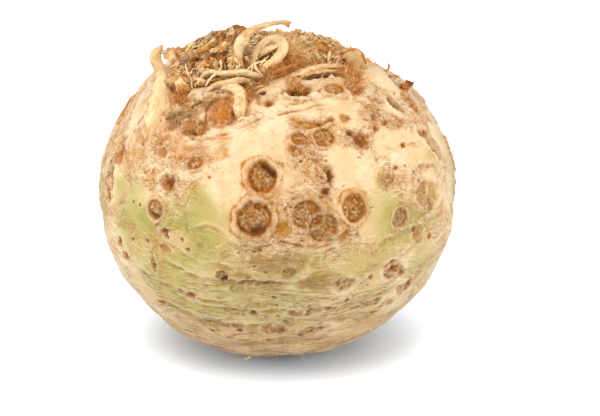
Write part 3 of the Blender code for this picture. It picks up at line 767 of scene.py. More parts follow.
def blend_colour(tree, factor, a, b, mode="MIX"):
    node = tree.nodes.new("ShaderNodeMix")
    node.data_type = "RGBA"
    node.blend_type = mode
    node.clamp_factor = True
    for key, value in ((0, factor), (6, a), (7, b)):
        if isinstance(value, bpy.types.NodeSocket):
            tree.links.new(value, node.inputs[key])
        elif key == 0:
            node.inputs[key].default_value = value
        else:
            node.inputs[key].default_value = (*value, 1)
    return node.outputs[2]


def grain(tree, place, spacing, detail=3, rough=0.55):
    """Node noise with one wave every spacing millimetres, 0 to 1."""
    inputs = {"Vector": place, "Scale": 1 / spacing, "Detail": detail, "Roughness": rough}
    return new_node(tree, "TexNoise", inputs).outputs["Fac"]


def ramp(tree, value, low, high, out_low=0.0, out_high=1.0):
    inputs = {"Value": value, "From Min": low, "From Max": high, "To Min": out_low, "To Max": out_high}
    return new_node(tree, "MapRange", inputs, interpolation_type="SMOOTHSTEP").outputs["Result"]


def read(tree, name, output="Fac"):
    return new_node(tree, "Attribute", attribute_name=name).outputs[output]


def in_millimetres(tree):
    return scaled(tree, new_node(tree, "TexCoord").outputs["Object"], (1 / MM,) * 3)


def relief(tree, strength, deep, height, over=None):
    """Small ups and downs of the surface, deep in millimetres, on top of others where there are any."""
    inputs = {"Strength": strength, "Distance": deep * MM, "Height": height}
    if over:
        inputs["Normal"] = over
    return new_node(tree, "Bump", inputs).outputs[0]


def new_material(name):
    material = bpy.data.materials.new(name)
    material.use_nodes = True
    tree = material.node_tree
    return material, tree, tree.nodes["Principled BSDF"]


def new_group(name, inputs, outputs):
    """A node group that makes values out of places. Returns it with its input and output nodes."""
    group = bpy.data.node_groups.new(name, "ShaderNodeTree")
    for socket_name in inputs:
        group.interface.new_socket(socket_name, in_out="INPUT", socket_type="NodeSocketVector")
    for socket_name in outputs:
        group.interface.new_socket(socket_name, in_out="OUTPUT", socket_type="NodeSocketFloat")
    return group, group.nodes.new("NodeGroupInput"), group.nodes.new("NodeGroupOutput")


def use_group(tree, group, inputs):
    return new_node(tree, "Group", inputs, node_tree=group).outputs


# Marks that roots, dead skin and hair share: soft clouds, blotches, streaks along the grain, fine grit.
bark_marks, given, made = new_group(
    "bark_marks", ("Place", "Strand"), ("Cloud", "Blotch", "Streak", "Fine")
)
wire(bark_marks, grain(bark_marks, given.outputs["Place"], 3.2, 3, 0.6), made.inputs["Cloud"])
blotches = grain(bark_marks, given.outputs["Place"], 1.6, 4, 0.65)
wire(bark_marks, ramp(bark_marks, blotches, 0.52, 0.68), made.inputs["Blotch"])
strands = grain(bark_marks, given.outputs["Strand"], 0.55, 3, 0.6)
wire(bark_marks, ramp(bark_marks, strands, 0.5, 0.7), made.inputs["Streak"])
wire(bark_marks, grain(bark_marks, given.outputs["Place"], 0.7, 4, 0.65), made.inputs["Fine"])

CREAM = (0.77, 0.53, 0.275)
CREAM_PALE = (0.83, 0.64, 0.39)
TAN = (0.64, 0.32, 0.10)
GREEN = (0.31, 0.295, 0.042)
GREEN_PALE = (0.38, 0.35, 0.072)
BROWN = (0.24, 0.088, 0.026)
BROWN_PALE = (0.45, 0.215, 0.082)
BROWN_DARK = (0.075, 0.026, 0.009)
ORANGE = (0.50, 0.165, 0.022)
PALE = (0.84, 0.65, 0.41)
GREY = (0.20, 0.15, 0.075)
ROSE = (0.56, 0.27, 0.14)
FUR = (0.82, 0.44, 0.10)
OCHRE = (0.58, 0.36, 0.07)
OLIVE = (0.30, 0.22, 0.045)
STREAK_BROWN = (0.36, 0.22, 0.05)
STREAK_CREAM = (0.82, 0.63, 0.33)
STREAK_OLIVE = (0.46, 0.33, 0.085)
CRACK_LINE = (0.32, 0.15, 0.036)
CRACK_THREAD = (0.28, 0.12, 0.036)
CRACK_DEEP = (0.27, 0.10, 0.022)
FUR_DARK = (0.42, 0.17, 0.035)
WRINKLE = (0.44, 0.17, 0.042)
WRINKLE_EDGE = (0.95, 0.76, 0.48)
HOLLOW_SHADE = (0.44, 0.16, 0.055)
GRIT = (0.74, 0.55, 0.36)
GLINT_LIFT = (1.25, 1.25, 1.3)

skin_finish, tree, surface = new_material("celeriac_skin")
place = in_millimetres(tree)
running_place = read(tree, "running_round", "Vector")
crumb = read(tree, "crumb")
cloud = grain(tree, place, 11, 3)
small_cloud = grain(tree, place, 3.2, 4, 0.6)
fine = grain(tree, place, 0.9, 4, 0.65)
stretched = scaled(tree, running_place, (0.16, 0.16, 1.0))
streak = grain(tree, stretched, 1.1, 4, 0.6)
streak_fine = grain(tree, stretched, 0.42, 3, 0.6)

leather = read(tree, "leather")
squashed = scaled(tree, place, (1.0, 1.0, 1.7))


def contour_line(spacing, level, width, where=squashed):
    """A thin line wherever a node noise crosses a level: 1 on the line, 0 off it."""
    apart = sums(tree, "ABSOLUTE", sums(tree, "SUBTRACT", grain(tree, where, spacing, 3, 0.6), level))
    return ramp(tree, apart, 0.25 * width, width, 1, 0)


def stain_share(name, mark, low, high, least, most=1.0):
    """How much of a kept stain shows: the stain, broken up by one of the marks."""
    return product(tree, read(tree, name), ramp(tree, mark, low, high, least, most))


lines = largest(tree, contour_line(6, 0.5, 0.016), contour_line(4, 0.58, 0.016))
lines = product(tree, largest(tree, lines, contour_line(3, 0.42, 0.02)), leather)
edges = largest(tree, contour_line(6, 0.53, 0.014), contour_line(4, 0.61, 0.014))
edges = product(tree, largest(tree, edges, contour_line(3, 0.46, 0.016)), leather)
wide_stain = product(tree, ramp(tree, grain(tree, squashed, 4, 5, 0.6), 0.55, 0.62), leather)
green_tone = blend_colour(tree, ramp(tree, small_cloud, 0.35, 0.65), GREEN, GREEN_PALE)
green_share = stain_share("green", cloud, 0.2, 0.7, 0.7)
low_down = ramp(tree, new_node(tree, "SeparateXYZ", {0: running_place}).outputs[2], 10, -25, 0.18, 1.0)
streaked = product(tree, ramp(tree, streak, 0.56, 0.72), low_down)
pale_streak = product(tree, ramp(tree, streak, 0.44, 0.30), low_down)
broad = product(tree, ramp(tree, grain(tree, stretched, 3.6, 4, 0.6), 0.5, 0.66), low_down)
long_lines = largest(tree, contour_line(1.9, 0.5, 0.03, stretched), contour_line(1.2, 0.58, 0.03, stretched))
patchy = ramp(tree, grain(tree, place, 9, 3), 0.42, 0.56)
long_lines = product(tree, product(tree, long_lines, patchy), low_down)
thread = product(tree, ramp(tree, streak_fine, 0.62, 0.68), low_down)
orange_share = stain_share("orange", small_cloud, 0.3, 0.6, 0.5)
brown_tone = blend_colour(tree, ramp(tree, fine, 0.38, 0.62), BROWN, BROWN_PALE)
fur_tone = blend_colour(tree, ramp(tree, fine, 0.40, 0.60), FUR_DARK, FUR)
cavity_depth = read(tree, "cavity")
# Painted highlight: skin standing proud of its own smoothed surface is made paler.
proud = product(tree, ramp(tree, cavity_depth, 0.05, 0.6), 0.3)

# The skin's colours, each laid over the ones before it.
colour = blend_colour(tree, ramp(tree, cloud, 0.35, 0.65), CREAM, CREAM_PALE)
for share, tone in (
    (product(tree, ramp(tree, small_cloud, 0.52, 0.75), 0.55), TAN),
    (product(tree, wide_stain, 0.7), TAN),
    (stain_share("tan", small_cloud, 0.3, 0.6, 0.35, 0.9), TAN),
    (green_share, green_tone),
    (product(tree, read(tree, "ochre"), 0.8), OCHRE),
    (product(tree, streaked, 0.36), STREAK_BROWN),
    (product(tree, pale_streak, 0.6), STREAK_CREAM),
    (product(tree, broad, 0.32), STREAK_OLIVE),
    (product(tree, long_lines, 0.75), CRACK_LINE),
    (product(tree, thread, 0.28), CRACK_THREAD),
    (stain_share("olive", streak, 0.35, 0.6, 0.3, 0.85), OLIVE),
    (orange_share, ORANGE),
    (stain_share("rose", small_cloud, 0.3, 0.6, 0.4, 0.85), ROSE),
    (stain_share("brown", small_cloud, 0.25, 0.6, 0.55), brown_tone),
    (read(tree, "fur"), fur_tone),
    (stain_share("pale", fine, 0.3, 0.6, 0.45), PALE),
    (stain_share("grey", fine, 0.25, 0.6, 0.55), GREY),
    (product(tree, lines, 0.75), WRINKLE),
    (product(tree, edges, 0.4), WRINKLE_EDGE),
    (stain_share("crack", fine, 0.3, 0.6, 0.6), CRACK_DEEP),
    # Painted shade: wherever the skin lies below its own smoothed surface it is darkened to a warm brown.
    (product(tree, ramp(tree, cavity_depth, -0.12, -0.55), 0.6), HOLLOW_SHADE),
    (product(tree, proud, rest_of(tree, orange_share)), CREAM_PALE),
    # The dark mask is mostly painted shade in holes, moats, gaps and hollows, with the wart's own dark
    # streaks.
    (stain_share("dark", fine, 0.3, 0.62, 0.7), BROWN_DARK),
    (product(tree, ramp(tree, fine, 0.68, 0.76), 0.6), BROWN_PALE),
):
    colour = blend_colour(tree, share, colour, tone)
grit = grain(tree, place, 0.5, 3, 0.7)
colour = blend_colour(tree, ramp(tree, grit, 0.5, 0.75, 0.0, 0.5), colour, GRIT, "MULTIPLY")
darkness = ramp(tree, new_node(tree, "SeparateColor", {0: colour}).outputs[0], 0.72, 0.4)
darkness = product(tree, darkness, rest_of(tree, largest(tree, green_share, product(tree, low_down, 0.6))))
enrich = {"Hue": 0.494, "Saturation": 1.2, "Value": 1.0, "Fac": darkness, "Color": colour}
colour = new_node(tree, "HueSaturation", enrich).outputs[0]
# Painted glints: fine specks of the skin are lifted brighter and a little bluer, as tiny highlights.
colour = blend_colour(tree, product(tree, ramp(tree, grit, 0.42, 0.28), 0.5), colour, GLINT_LIFT, "MULTIPLY")
wire(tree, colour, surface.inputs["Base Color"])

roughness = ramp(tree, crumb, 0.0, 0.8, 0.46, 0.85)
roughness = sums(tree, "ADD", roughness, ramp(tree, fine, 0.2, 0.8, -0.07, 0.07))
wire(tree, roughness, surface.inputs["Roughness"])
rough_strength = ramp(tree, crumb, 0.0, 0.8, 0.3, 0.9)
rough_relief = relief(tree, rough_strength, 0.45, fine)
streak_strength = ramp(tree, largest(tree, low_down, leather), 0.0, 1.0, 0.1, 0.7)
furrows = product(tree, sums(tree, "ADD", lines, long_lines), 0.5)
furrowed = sums(tree, "SUBTRACT", rest_of(tree, streak), furrows)
wire(tree, relief(tree, streak_strength, 0.5, furrowed, rough_relief), surface.inputs["Normal"])
surface.inputs["Specular IOR Level"].default_value = 0.2
surface.inputs["Sheen Weight"].default_value = 0.22
surface.inputs["Sheen Roughness"].default_value = 0.4
skin_mesh.materials.append(skin_finish)

# ------------------------------------------------------------------ long roots
# The few roots that were left on: pale tubes of fibre with a woody string inside, wrinkled
# along their length. Each grows out of the body through a flared foot and ends where it tore.


def limb(stations, gap, around, seed, ribs=0.06, lumps=0.08, flat=1.0, torn=0.3, hollow=0.5, tone=0.5):
    """A root through stations of x, y, z and width, in millimetres from the middle, with a torn end."""
    stations = np.array(stations, float)
    ends = np.vstack([2 * stations[0] - stations[1], stations, 2 * stations[-1] - stations[-2]])
    runs = []
    for a, b, c, d in zip(ends, ends[1:], ends[2:], ends[3:]):
        t = np.linspace(0, 1, max(2, int(np.linalg.norm(c[:3] - b[:3]) / gap)), endpoint=False)[:, None]
        bend, twist = 2 * a - 5 * b + 4 * c - d, 3 * b - a - 3 * c + d
        runs.append(0.5 * (2 * b + (c - a) * t + bend * t**2 + twist * t**3))
    line = np.vstack([*runs, stations[-1:]])
    centre, radius = line[:, :3], np.maximum(line[:, 3] / 2, 0.1)
    ahead = np.gradient(centre, axis=0)
    ahead /= np.linalg.norm(ahead, axis=1)[:, None]
    length = np.concatenate([[0], np.cumsum(np.linalg.norm(np.diff(centre, axis=0), axis=1))])
    side = np.zeros_like(centre)
    side[0] = np.cross(ahead[0], (0.31, 0.27, 0.91))
    for n in range(len(line)):
        carried = side[max(n - 1, 0)] - ahead[n] * (side[max(n - 1, 0)] @ ahead[n])
        side[n] = carried / np.linalg.norm(carried)
    over = np.cross(ahead, side)
    angle = np.linspace(0, 2 * math.pi, around, endpoint=False)
    c, s = np.cos(angle), np.sin(angle)
    rings, count = len(line), around
    around_place = np.stack(
        [np.outer(radius, c).ravel() + seed, np.outer(radius, s).ravel(), np.repeat(length, count)], 1
    )
    unit_place = np.stack(
        [np.tile(c, rings) * 1.6 + seed, np.tile(s, rings) * 1.6, np.repeat(length, count) / 7], 1
    )
    swell = 1 + lumps * noise(around_place, 3.2, seed) + ribs * noise(unit_place, 0.8, seed + 1)
    swell += 0.5 * ribs * noise(around_place, 0.9, seed + 2)
    swell = swell.reshape(rings, count)
    points = centre[:, None] + (side[:, None] * c[:, None] + over[:, None] * s[:, None] * flat) * (
        radius[:, None] * swell
    )[..., None]
    rag = noise(np.stack([c * 2, s * 2, np.full(count, seed)], 1), 0.9, seed + 3)
    points[-1] += ahead[-1] * (torn * rag[:, None])
    points[-2] += ahead[-1] * (0.5 * torn * rag[:, None])
    inner = centre[-1] + (points[-1] - centre[-1]) * 0.62 - ahead[-1] * 0.35 * hollow * radius[-1]
    deep = centre[-1] - ahead[-1] * hollow * radius[-1]
    points = np.vstack([points.reshape(-1, 3), inner, deep[None], centre[:1]])
    faces = []
    for n in range(rings):
        for m in range(count):
            k = (m + 1) % count
            faces.append((n * count + m, n * count + k, (n + 1) * count + k, (n + 1) * count + m))
    last = (rings + 1) * count
    for m in range(count):
        k = (m + 1) % count
        faces.append((rings * count + m, rings * count + k, last))
        faces.append((k, m, last + 1))
    along = np.concatenate([np.repeat(length / length[-1], count), np.ones(count + 1), [0]])
    open_end = 0.8 if hollow > 0 else 0.0
    depth = np.concatenate([np.zeros(rings * count), np.full(count, 0.6 * open_end), [open_end, 0.0]])
    run = np.vstack([around_place, around_place[-count:] * (0.6, 0.6, 1), [[0, 0, length[-1]], [0, 0, 0]]])
    return points, faces, {"along": along, "hollow": depth, "tone": np.full(len(points), tone)}, run


def put_on_root(name, mesh, finish, body_slot, *nodes):
    """Makes a smooth piece of a mesh, which moves with the body and stands in for the nodes."""
    mesh.polygons.foreach_set("use_smooth", [True] * len(mesh.polygons))
    mesh.materials.append(finish)
    piece = bpy.data.objects.new(name, mesh)
    bpy.context.scene.collection.objects.link(piece)
    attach(piece, "root")
    if nodes:
        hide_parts(*nodes)


def join_parts(name, parts, finish, body_slot, *nodes):
    """Makes one piece out of several limbs or flakes and puts it on the root."""
    points, faces, values, runs, start = [], [], {}, [], 0
    for part_points, part_faces, part_values, part_run in parts:
        points.append(part_points)
        faces += [tuple(start + n for n in face) for face in part_faces]
        runs.append(part_run)
        for key, value in part_values.items():
            values.setdefault(key, []).append(value)
        start += len(part_points)
    mesh = bpy.data.meshes.new(name)
    mesh.from_pydata(((np.vstack(points) + MIDDLE) * MM).tolist(), [], faces)
    for key, value in values.items():
        keep_on(mesh, key, np.concatenate(value))
    keep_place(mesh, "strand", np.vstack(runs))
    put_on_root(name, mesh, finish, body_slot, *nodes)


PULLED_OUT_AND_SHADE = (0.20, 0.075, 0.02)  # painted shade in a hollow torn end, where the woody string was


def root_material(name, colours, tip_colour, streak_share, spot_share, roughness):
    """Root bark: colours is light, middle and dark, streaked along the root, with the tip colour at the torn
    end: browner on most roots, paler on dead skin, where it is partly a painted highlight.
    """
    light, middle, dark = colours
    material, tree, surface = new_material(name)
    strand = read(tree, "strand", "Vector")
    long_strand = scaled(tree, strand, (1.0, 1.0, 0.16))
    marks = use_group(tree, bark_marks, {"Place": in_millimetres(tree), "Strand": long_strand})
    shade = sums(tree, "ADD", ramp(tree, marks["Cloud"], 0.3, 0.7, -0.25, 0.25), read(tree, "tone"))
    colour = blend_colour(tree, ramp(tree, shade, 0.1, 0.9), light, middle)
    colour = blend_colour(tree, product(tree, marks["Streak"], streak_share), colour, dark)
    colour = blend_colour(tree, product(tree, marks["Blotch"], spot_share), colour, dark)
    near_tip = ramp(tree, read(tree, "along"), 0.6, 1.0)
    tip = product(tree, near_tip, ramp(tree, marks["Cloud"], 0.3, 0.6, 0.5, 1))
    colour = blend_colour(tree, product(tree, tip, 0.8), colour, tip_colour)
    # Painted shade: a hollow torn end is coloured dark brown.
    colour = blend_colour(tree, read(tree, "hollow"), colour, PULLED_OUT_AND_SHADE)
    wire(tree, colour, surface.inputs["Base Color"])
    rough = ramp(tree, marks["Fine"], 0.2, 0.8, roughness - 0.1, roughness + 0.1)
    wire(tree, rough, surface.inputs["Roughness"])
    surface.inputs["Specular IOR Level"].default_value = 0.2
    ridges = sums(tree, "SUBTRACT", marks["Fine"], product(tree, marks["Streak"], 0.8))
    wire(tree, relief(tree, 0.6, 0.3, ridges), surface.inputs["Normal"])
    return material


cream_root = root_material(
    "cream_root", ((0.90, 0.65, 0.34), (0.80, 0.48, 0.21), (0.56, 0.27, 0.09)),
    (0.58, 0.29, 0.10), 0.4, 0.4, 0.5
)
strap_root = root_material(
    "strap_root", ((0.85, 0.63, 0.34), (0.68, 0.37, 0.13), (0.44, 0.19, 0.05)),
    (0.50, 0.25, 0.085), 0.55, 0.45, 0.45
)
brown_root = root_material(
    "brown_root", ((0.74, 0.35, 0.09), (0.44, 0.155, 0.027), (0.18, 0.055, 0.01)),
    (0.40, 0.15, 0.035), 0.55, 0.6, 0.7
)

LEFT_ROOT = (
    (-34.5, -22.5, 24.0, 11.0), (-39.6, -23.2, 33.0, 10.6), (-39.6, -21.8, 37.6, 9.6),
    (-39.3, -19.4, 41.5, 7.8), (-39.1, -16.6, 45.5, 5.6), (-39.0, -14.9, 48.7, 3.8),
    (-40.2, -13.8, 51.1, 3.9), (-41.5, -12.8, 54.0, 3.9), (-40.8, -12, 56.1, 3.1),
    (-39.7, -11.6, 56.1, 2.4),
)
LEFT_ROOT_PRONG = (
    (-41.2, -12.4, 54.9, 3.4), (-40.3, -12, 56.4, 2.4), (-39.5, -11.5, 57.5, 1.7),
    (-39.0, -11.3, 58.2, 1.1),
)
LEFT_ROOT_TIP = ((-39.7, -11.4, 55.7, 2.0), (-37.8, -11, 55.6, 1.6), (-36.7, -11, 57.0, 1.0))
join_parts(
    "left_root",
    [
        limb(LEFT_ROOT, 0.45, 32, 301, ribs=0.10, lumps=0.15, torn=1.0, tone=0.35),
        limb(LEFT_ROOT_PRONG, 0.35, 16, 302, ribs=0.12, lumps=0.16, torn=1.0, tone=0.6),
        limb(LEFT_ROOT_TIP, 0.35, 10, 303, ribs=0.12, lumps=0.16, torn=0.8, tone=0.3),
    ],
    cream_root, "root_cream", "left_root",
)
ARCHING_ROOT = (
    (-11.8, -18.8, 46, 3.4), (-12.2, -20.5, 53.4, 2.3), (-12.9, -20.5, 56.9, 2.5),
    (-12.9, -20, 60.3, 3.4), (-11.3, -19.6, 63.2, 3.9), (-8.9, -19.3, 65.8, 2.7), (-5.5, -19, 67.2, 2.2),
    (-2.2, -18.8, 68.2, 1.9), (1.1, -18.6, 68.7, 1.6), (3.1, -18.4, 68.5, 1.9), (4.5, -18.2, 67.7, 2.3),
)
join_parts(
    "arching_root", [limb(ARCHING_ROOT, 0.35, 24, 311, ribs=0.12, lumps=0.2, torn=0.7, tone=0.4)],
    strap_root, "root_brown", "arching_root",
)
LOOPED_ROOT = (
    (-5, -24, 48, 3.4), (-3.6, -23, 54, 3.0), (-0.6, -21.2, 55.8, 3.4), (1.6, -18.8, 58.0, 4.0),
    (2.0, -16.4, 60.2, 3.9), (-0.2, -15, 61.4, 3.0), (-3.0, -15, 61.0, 2.6), (-5.4, -16.4, 59.2, 2.7),
    (-7.2, -18.4, 56.4, 3.2), (-7.6, -20, 52.5, 3.6), (-6.8, -20, 48, 3.6),
)
LOOP_SHEET = (
    (0.6, -16.4, 60.0, 2.6), (-1.4, -17.4, 59.4, 4.0), (-3.6, -18.0, 58.6, 4.4), (-5.8, -18.6, 57.0, 2.4),
)
join_parts(
    "looped_root",
    [
        limb(LOOPED_ROOT, 0.4, 28, 321, ribs=0.10, lumps=0.2, flat=0.8, tone=0.1),
        limb(LOOP_SHEET, 0.4, 16, 322, ribs=0.2, lumps=0.35, flat=0.45, torn=1.4, hollow=0.9, tone=0.0),
    ],
    cream_root, "root_cream", "looped_root",
)
UPPER_STRAP = (
    (-25.4, -20.5, 49.6, 1.8), (-22.4, -23.6, 52.7, 2.5), (-19.3, -25.4, 52.7, 2.8),
    (-15.5, -26.6, 53.2, 3.0), (-11.7, -27, 53.6, 3.2), (-8.4, -26.8, 52.8, 3.2),
    (-5.5, -25.6, 51.6, 2.4), (-3.6, -23.5, 50.0, 2.0),
)
join_parts(
    "upper_strap_root", [limb(UPPER_STRAP, 0.4, 22, 331, ribs=0.10, lumps=0.14, flat=0.7, tone=0.15)],
    strap_root, "root_cream", "upper_strap_root",
)
LOWER_STRAP = (
    (-18.6, -28.4, 48.4, 1.6), (-15.5, -31.0, 49.5, 3.4), (-13.2, -31.8, 48.7, 4.8),
    (-12.1, -33.6, 46.3, 5.4), (-12.1, -36.2, 43.2, 5.4), (-11.8, -37.0, 40.0, 5.4),
    (-12, -36.4, 36.5, 6.0),
)
MIDDLE_STRAP = (
    (-23.4, -27.4, 47.4, 1.2), (-21.2, -28.6, 49.3, 1.9), (-18.8, -29.2, 50.3, 2.5),
    (-15.5, -29.6, 51.0, 2.8), (-11.7, -29.6, 51.9, 2.5), (-9.1, -28.6, 51.1, 1.8),
)
join_parts(
    "lower_strap_root",
    [
        limb(LOWER_STRAP, 0.4, 26, 341, ribs=0.14, lumps=0.25, flat=0.8, tone=0.3),
        limb(MIDDLE_STRAP, 0.4, 16, 342, ribs=0.10, lumps=0.22, flat=0.8, tone=0.35),
    ],
    strap_root, "root_cream", "lower_strap_root",
)
CURL_ROOTLET = (
    (21, -3, 48, 1.4), (23.4, -5, 52.6, 1.2), (25.0, -5.6, 54.6, 1.0), (27.2, -6, 54.9, 0.9),
    (29.3, -6, 53.2, 0.8), (30.6, -6, 49.6, 0.8),
)
join_parts(
    "right_curl_rootlet", [limb(CURL_ROOTLET, 0.35, 12, 351, ribs=0.12, lumps=0.16, tone=0.35)],
    brown_root, "root_brown", "right_curl_rootlet",
)

# ------------------------------------------------------------------ stubs
# Stumps of roots that were cut or torn short. Each is a short tube with a frayed rim and a
# brown hollow where its woody string pulled out, dark with painted shade. Ten stand clear, the rest crowd
# the crown.


def stump(place, out, long, wide, lean, seed, tone, flare):
    """A stump on the skin at place, in millimetres: it starts sunk in and leans as it rises."""
    foot = place - out * 2.4
    knee = place + out * 0.35 * long + lean * 0.25
    top = place + out * long + lean
    foot_wide = wide * flare
    stations = ((*foot, 1.35 * foot_wide), (*place, 1.12 * foot_wide), (*knee, wide), (*top, 0.82 * wide))
    return limb(stations, 0.55, 14, seed, ribs=0.13, lumps=0.2, torn=0.7, hollow=0.6, tone=tone)


def crumpled(part, amount):
    """The same part with its surface creased and torn about in small random bends."""
    points, faces, values, run = part
    bends = np.stack([layered(points, 1.3, 2, 600 + axis) for axis in range(3)], 1)
    return points + amount * bends, faces, values, run


def skin_at(turn, lift):
    """The finished skin's point and outward way at a place."""
    nearest = int(np.argmax(rays @ towards(turn, lift)))
    return shape[nearest], skin_smooth_out[nearest]


skin_smooth_out = np.stack([blurred(skin_out[:, axis], 8) for axis in range(3)], 1)
skin_smooth_out /= np.linalg.norm(skin_smooth_out, axis=1)[:, None]
STUBS = (  # name, turn, lift, length, width, lean, tone, cream or brown
    ("crown_stub_left", -52, 64, 5, 6.0, (-2, 0, 1), 0.4, "brown"),
    ("crown_stub_middle", -80, 72, 4, 5.6, (1, -1, 1), 0.3, "brown"),
    ("crown_stub_peak", -110, 76, 3.5, 6.6, (0, 0, 0), 0.6, "brown"),
    ("crown_stub_right", 62, 73, 3, 6.2, (1, 0, 0), 0.4, "brown"),
    ("right_curled_stub", 86, 42, 3.5, 3.0, (0.2, -1, 0.6), 0.4, "brown"),
    ("back_left_root", -143, 29, 9, 6.6, (-3, 2, 1), 0.4, "cream"),
    ("back_root", 165, 30, 9, 7.2, (3, 3, -1), 0.3, "cream"),
    ("back_right_root", 142, 12, 8, 5.8, (2, 2, 1), 0.5, "cream"),
    ("crown_stub_back", 150, 72, 0.8, 5.6, (0.5, 1, 0), 0.6, "brown"),
)
for number, (name, turn, lift, long, wide, lean, tone, bark) in enumerate(STUBS):
    place, out = skin_at(turn, lift)
    flare = 1.6 if bark == "cream" else 1.0
    part = stump(place, out, long, wide, np.array(lean, float), 400 + 7 * number, tone, flare)
    part = crumpled(part, 0.4 if bark == "cream" else 1.1)
    join_parts(name, [part], cream_root if bark == "cream" else brown_root, "root_" + bark, name)

RIGHT_KNOB = ((23.6, -4, 47.5, 6.0), (24.8, -6, 50.2, 7.0), (26.0, -8, 51.8, 6.6), (27.0, -9.4, 52.6, 4.8))
knob = limb(RIGHT_KNOB, 0.4, 26, 395, ribs=0.1, lumps=0.2, hollow=-0.8, tone=0.05)
join_parts("right_knob_root", [crumpled(knob, 0.25)], cream_root, "root_cream", "right_knob_root")

crown_places = np.flatnonzero((crown > 0.55) & (rays[:, 2] > 0.3))
bald = (1 - 0.85 * stain["fur"][crown_places]) * (1 - 0.8 * np.clip(stain["dark"][crown_places], 0, 1))
heap_x = shape[crown_places, 0]
HEAP_END = -9  # millimetres: the thick heap is left of here
RIGHT_START = 9  # and from here on to the right there are more scraps again
heaped = np.where(heap_x < HEAP_END, 1.0, np.where(heap_x < RIGHT_START, 0.14, 0.45)) * bald
heaped /= heaped.sum()
scatter = np.random.default_rng(31)
LIE = np.array((0.72, 0.25, 0.62))  # most torn pieces lie along this slant


def lying(out, looseness):
    """A way along the skin, mostly with the slant."""
    way = LIE + looseness * scatter.normal(size=3)
    way -= out * (way @ out)
    return way / np.linalg.norm(way)


def worn_down(part, proud):
    """The same part pressed down where it stands more than proud above the body, but for its front."""
    points, faces, values, run = part
    points = points.copy()
    for n, point in enumerate(points):
        reach_here = float(np.linalg.norm(point))
        if point[1] > -15 and point[2] > 20:
            hit = body_tree.ray_cast(middle_m, Vector(point / reach_here))[0]
            surplus = reach_here - (hit - middle_m).length / MM - proud
            if surplus > 0:
                points[n] *= 1 - 0.85 * surplus * step(point[1], -15, -5) / reach_here
    return points, faces, values, run


# Torn root feet: thick splinters and slabs that lie over one another.
SLABS = 130
BROWN_SLABS = 60
slabs = []
for number, n in enumerate(scatter.choice(crown_places, SLABS, p=heaped)):
    out = skin_smooth_out[n]
    way = lying(out, 0.75)
    long, wide = scatter.uniform(1.6, 4.2), scatter.uniform(0.8, 2.1)
    rise = out * scatter.uniform(0.1, 0.55)
    start = shape[n] - 0.8 * out - 0.4 * long * way
    stations = [
        (*(start + (way + rise) * long * t + out * 1.3 * math.sin(2.6 * t)), wide * w)
        for t, w in ((0, 0.9), (0.35, 1.1), (0.7, 1), (1, 0.75))
    ]
    slabs.append(
        limb(
            stations, 0.5, 14, 500 + 5 * number, ribs=0.25, lumps=0.4, flat=scatter.uniform(0.2, 0.6),
            torn=2.0, hollow=scatter.choice((1.1, 0.6)), tone=scatter.uniform(0, 1),
        )
    )
# Its pale tip colour is partly dried skin and partly a painted highlight on the torn ends and flake edges.
dead_skin = root_material(
    "dead_skin", ((0.74, 0.36, 0.09), (0.38, 0.125, 0.02), (0.16, 0.042, 0.008)),
    (1.0, 0.78, 0.42), 0.55, 0.6, 0.75
)
red_skin = root_material(
    "red_skin", ((0.60, 0.28, 0.12), (0.38, 0.13, 0.055), (0.15, 0.05, 0.02)),
    (0.62, 0.36, 0.20), 0.5, 0.5, 0.6
)
grey_bark = root_material(
    "grey_bark", ((0.58, 0.46, 0.30), (0.36, 0.27, 0.17), (0.17, 0.09, 0.04)),
    (0.52, 0.34, 0.17), 0.8, 0.9, 0.7
)
pale_root = root_material(
    "pale_root", ((0.92, 0.71, 0.40), (0.82, 0.58, 0.29), (0.58, 0.34, 0.15)),
    (0.86, 0.64, 0.36), 0.3, 0.3, 0.6
)
slabs = [worn_down(crumpled(slab, 0.85), 0.6) for slab in slabs]
join_parts("crown_slabs_brown", slabs[:BROWN_SLABS], brown_root, "root_brown")
join_parts("crown_slabs_torn", slabs[BROWN_SLABS:], dead_skin, "root_brown")

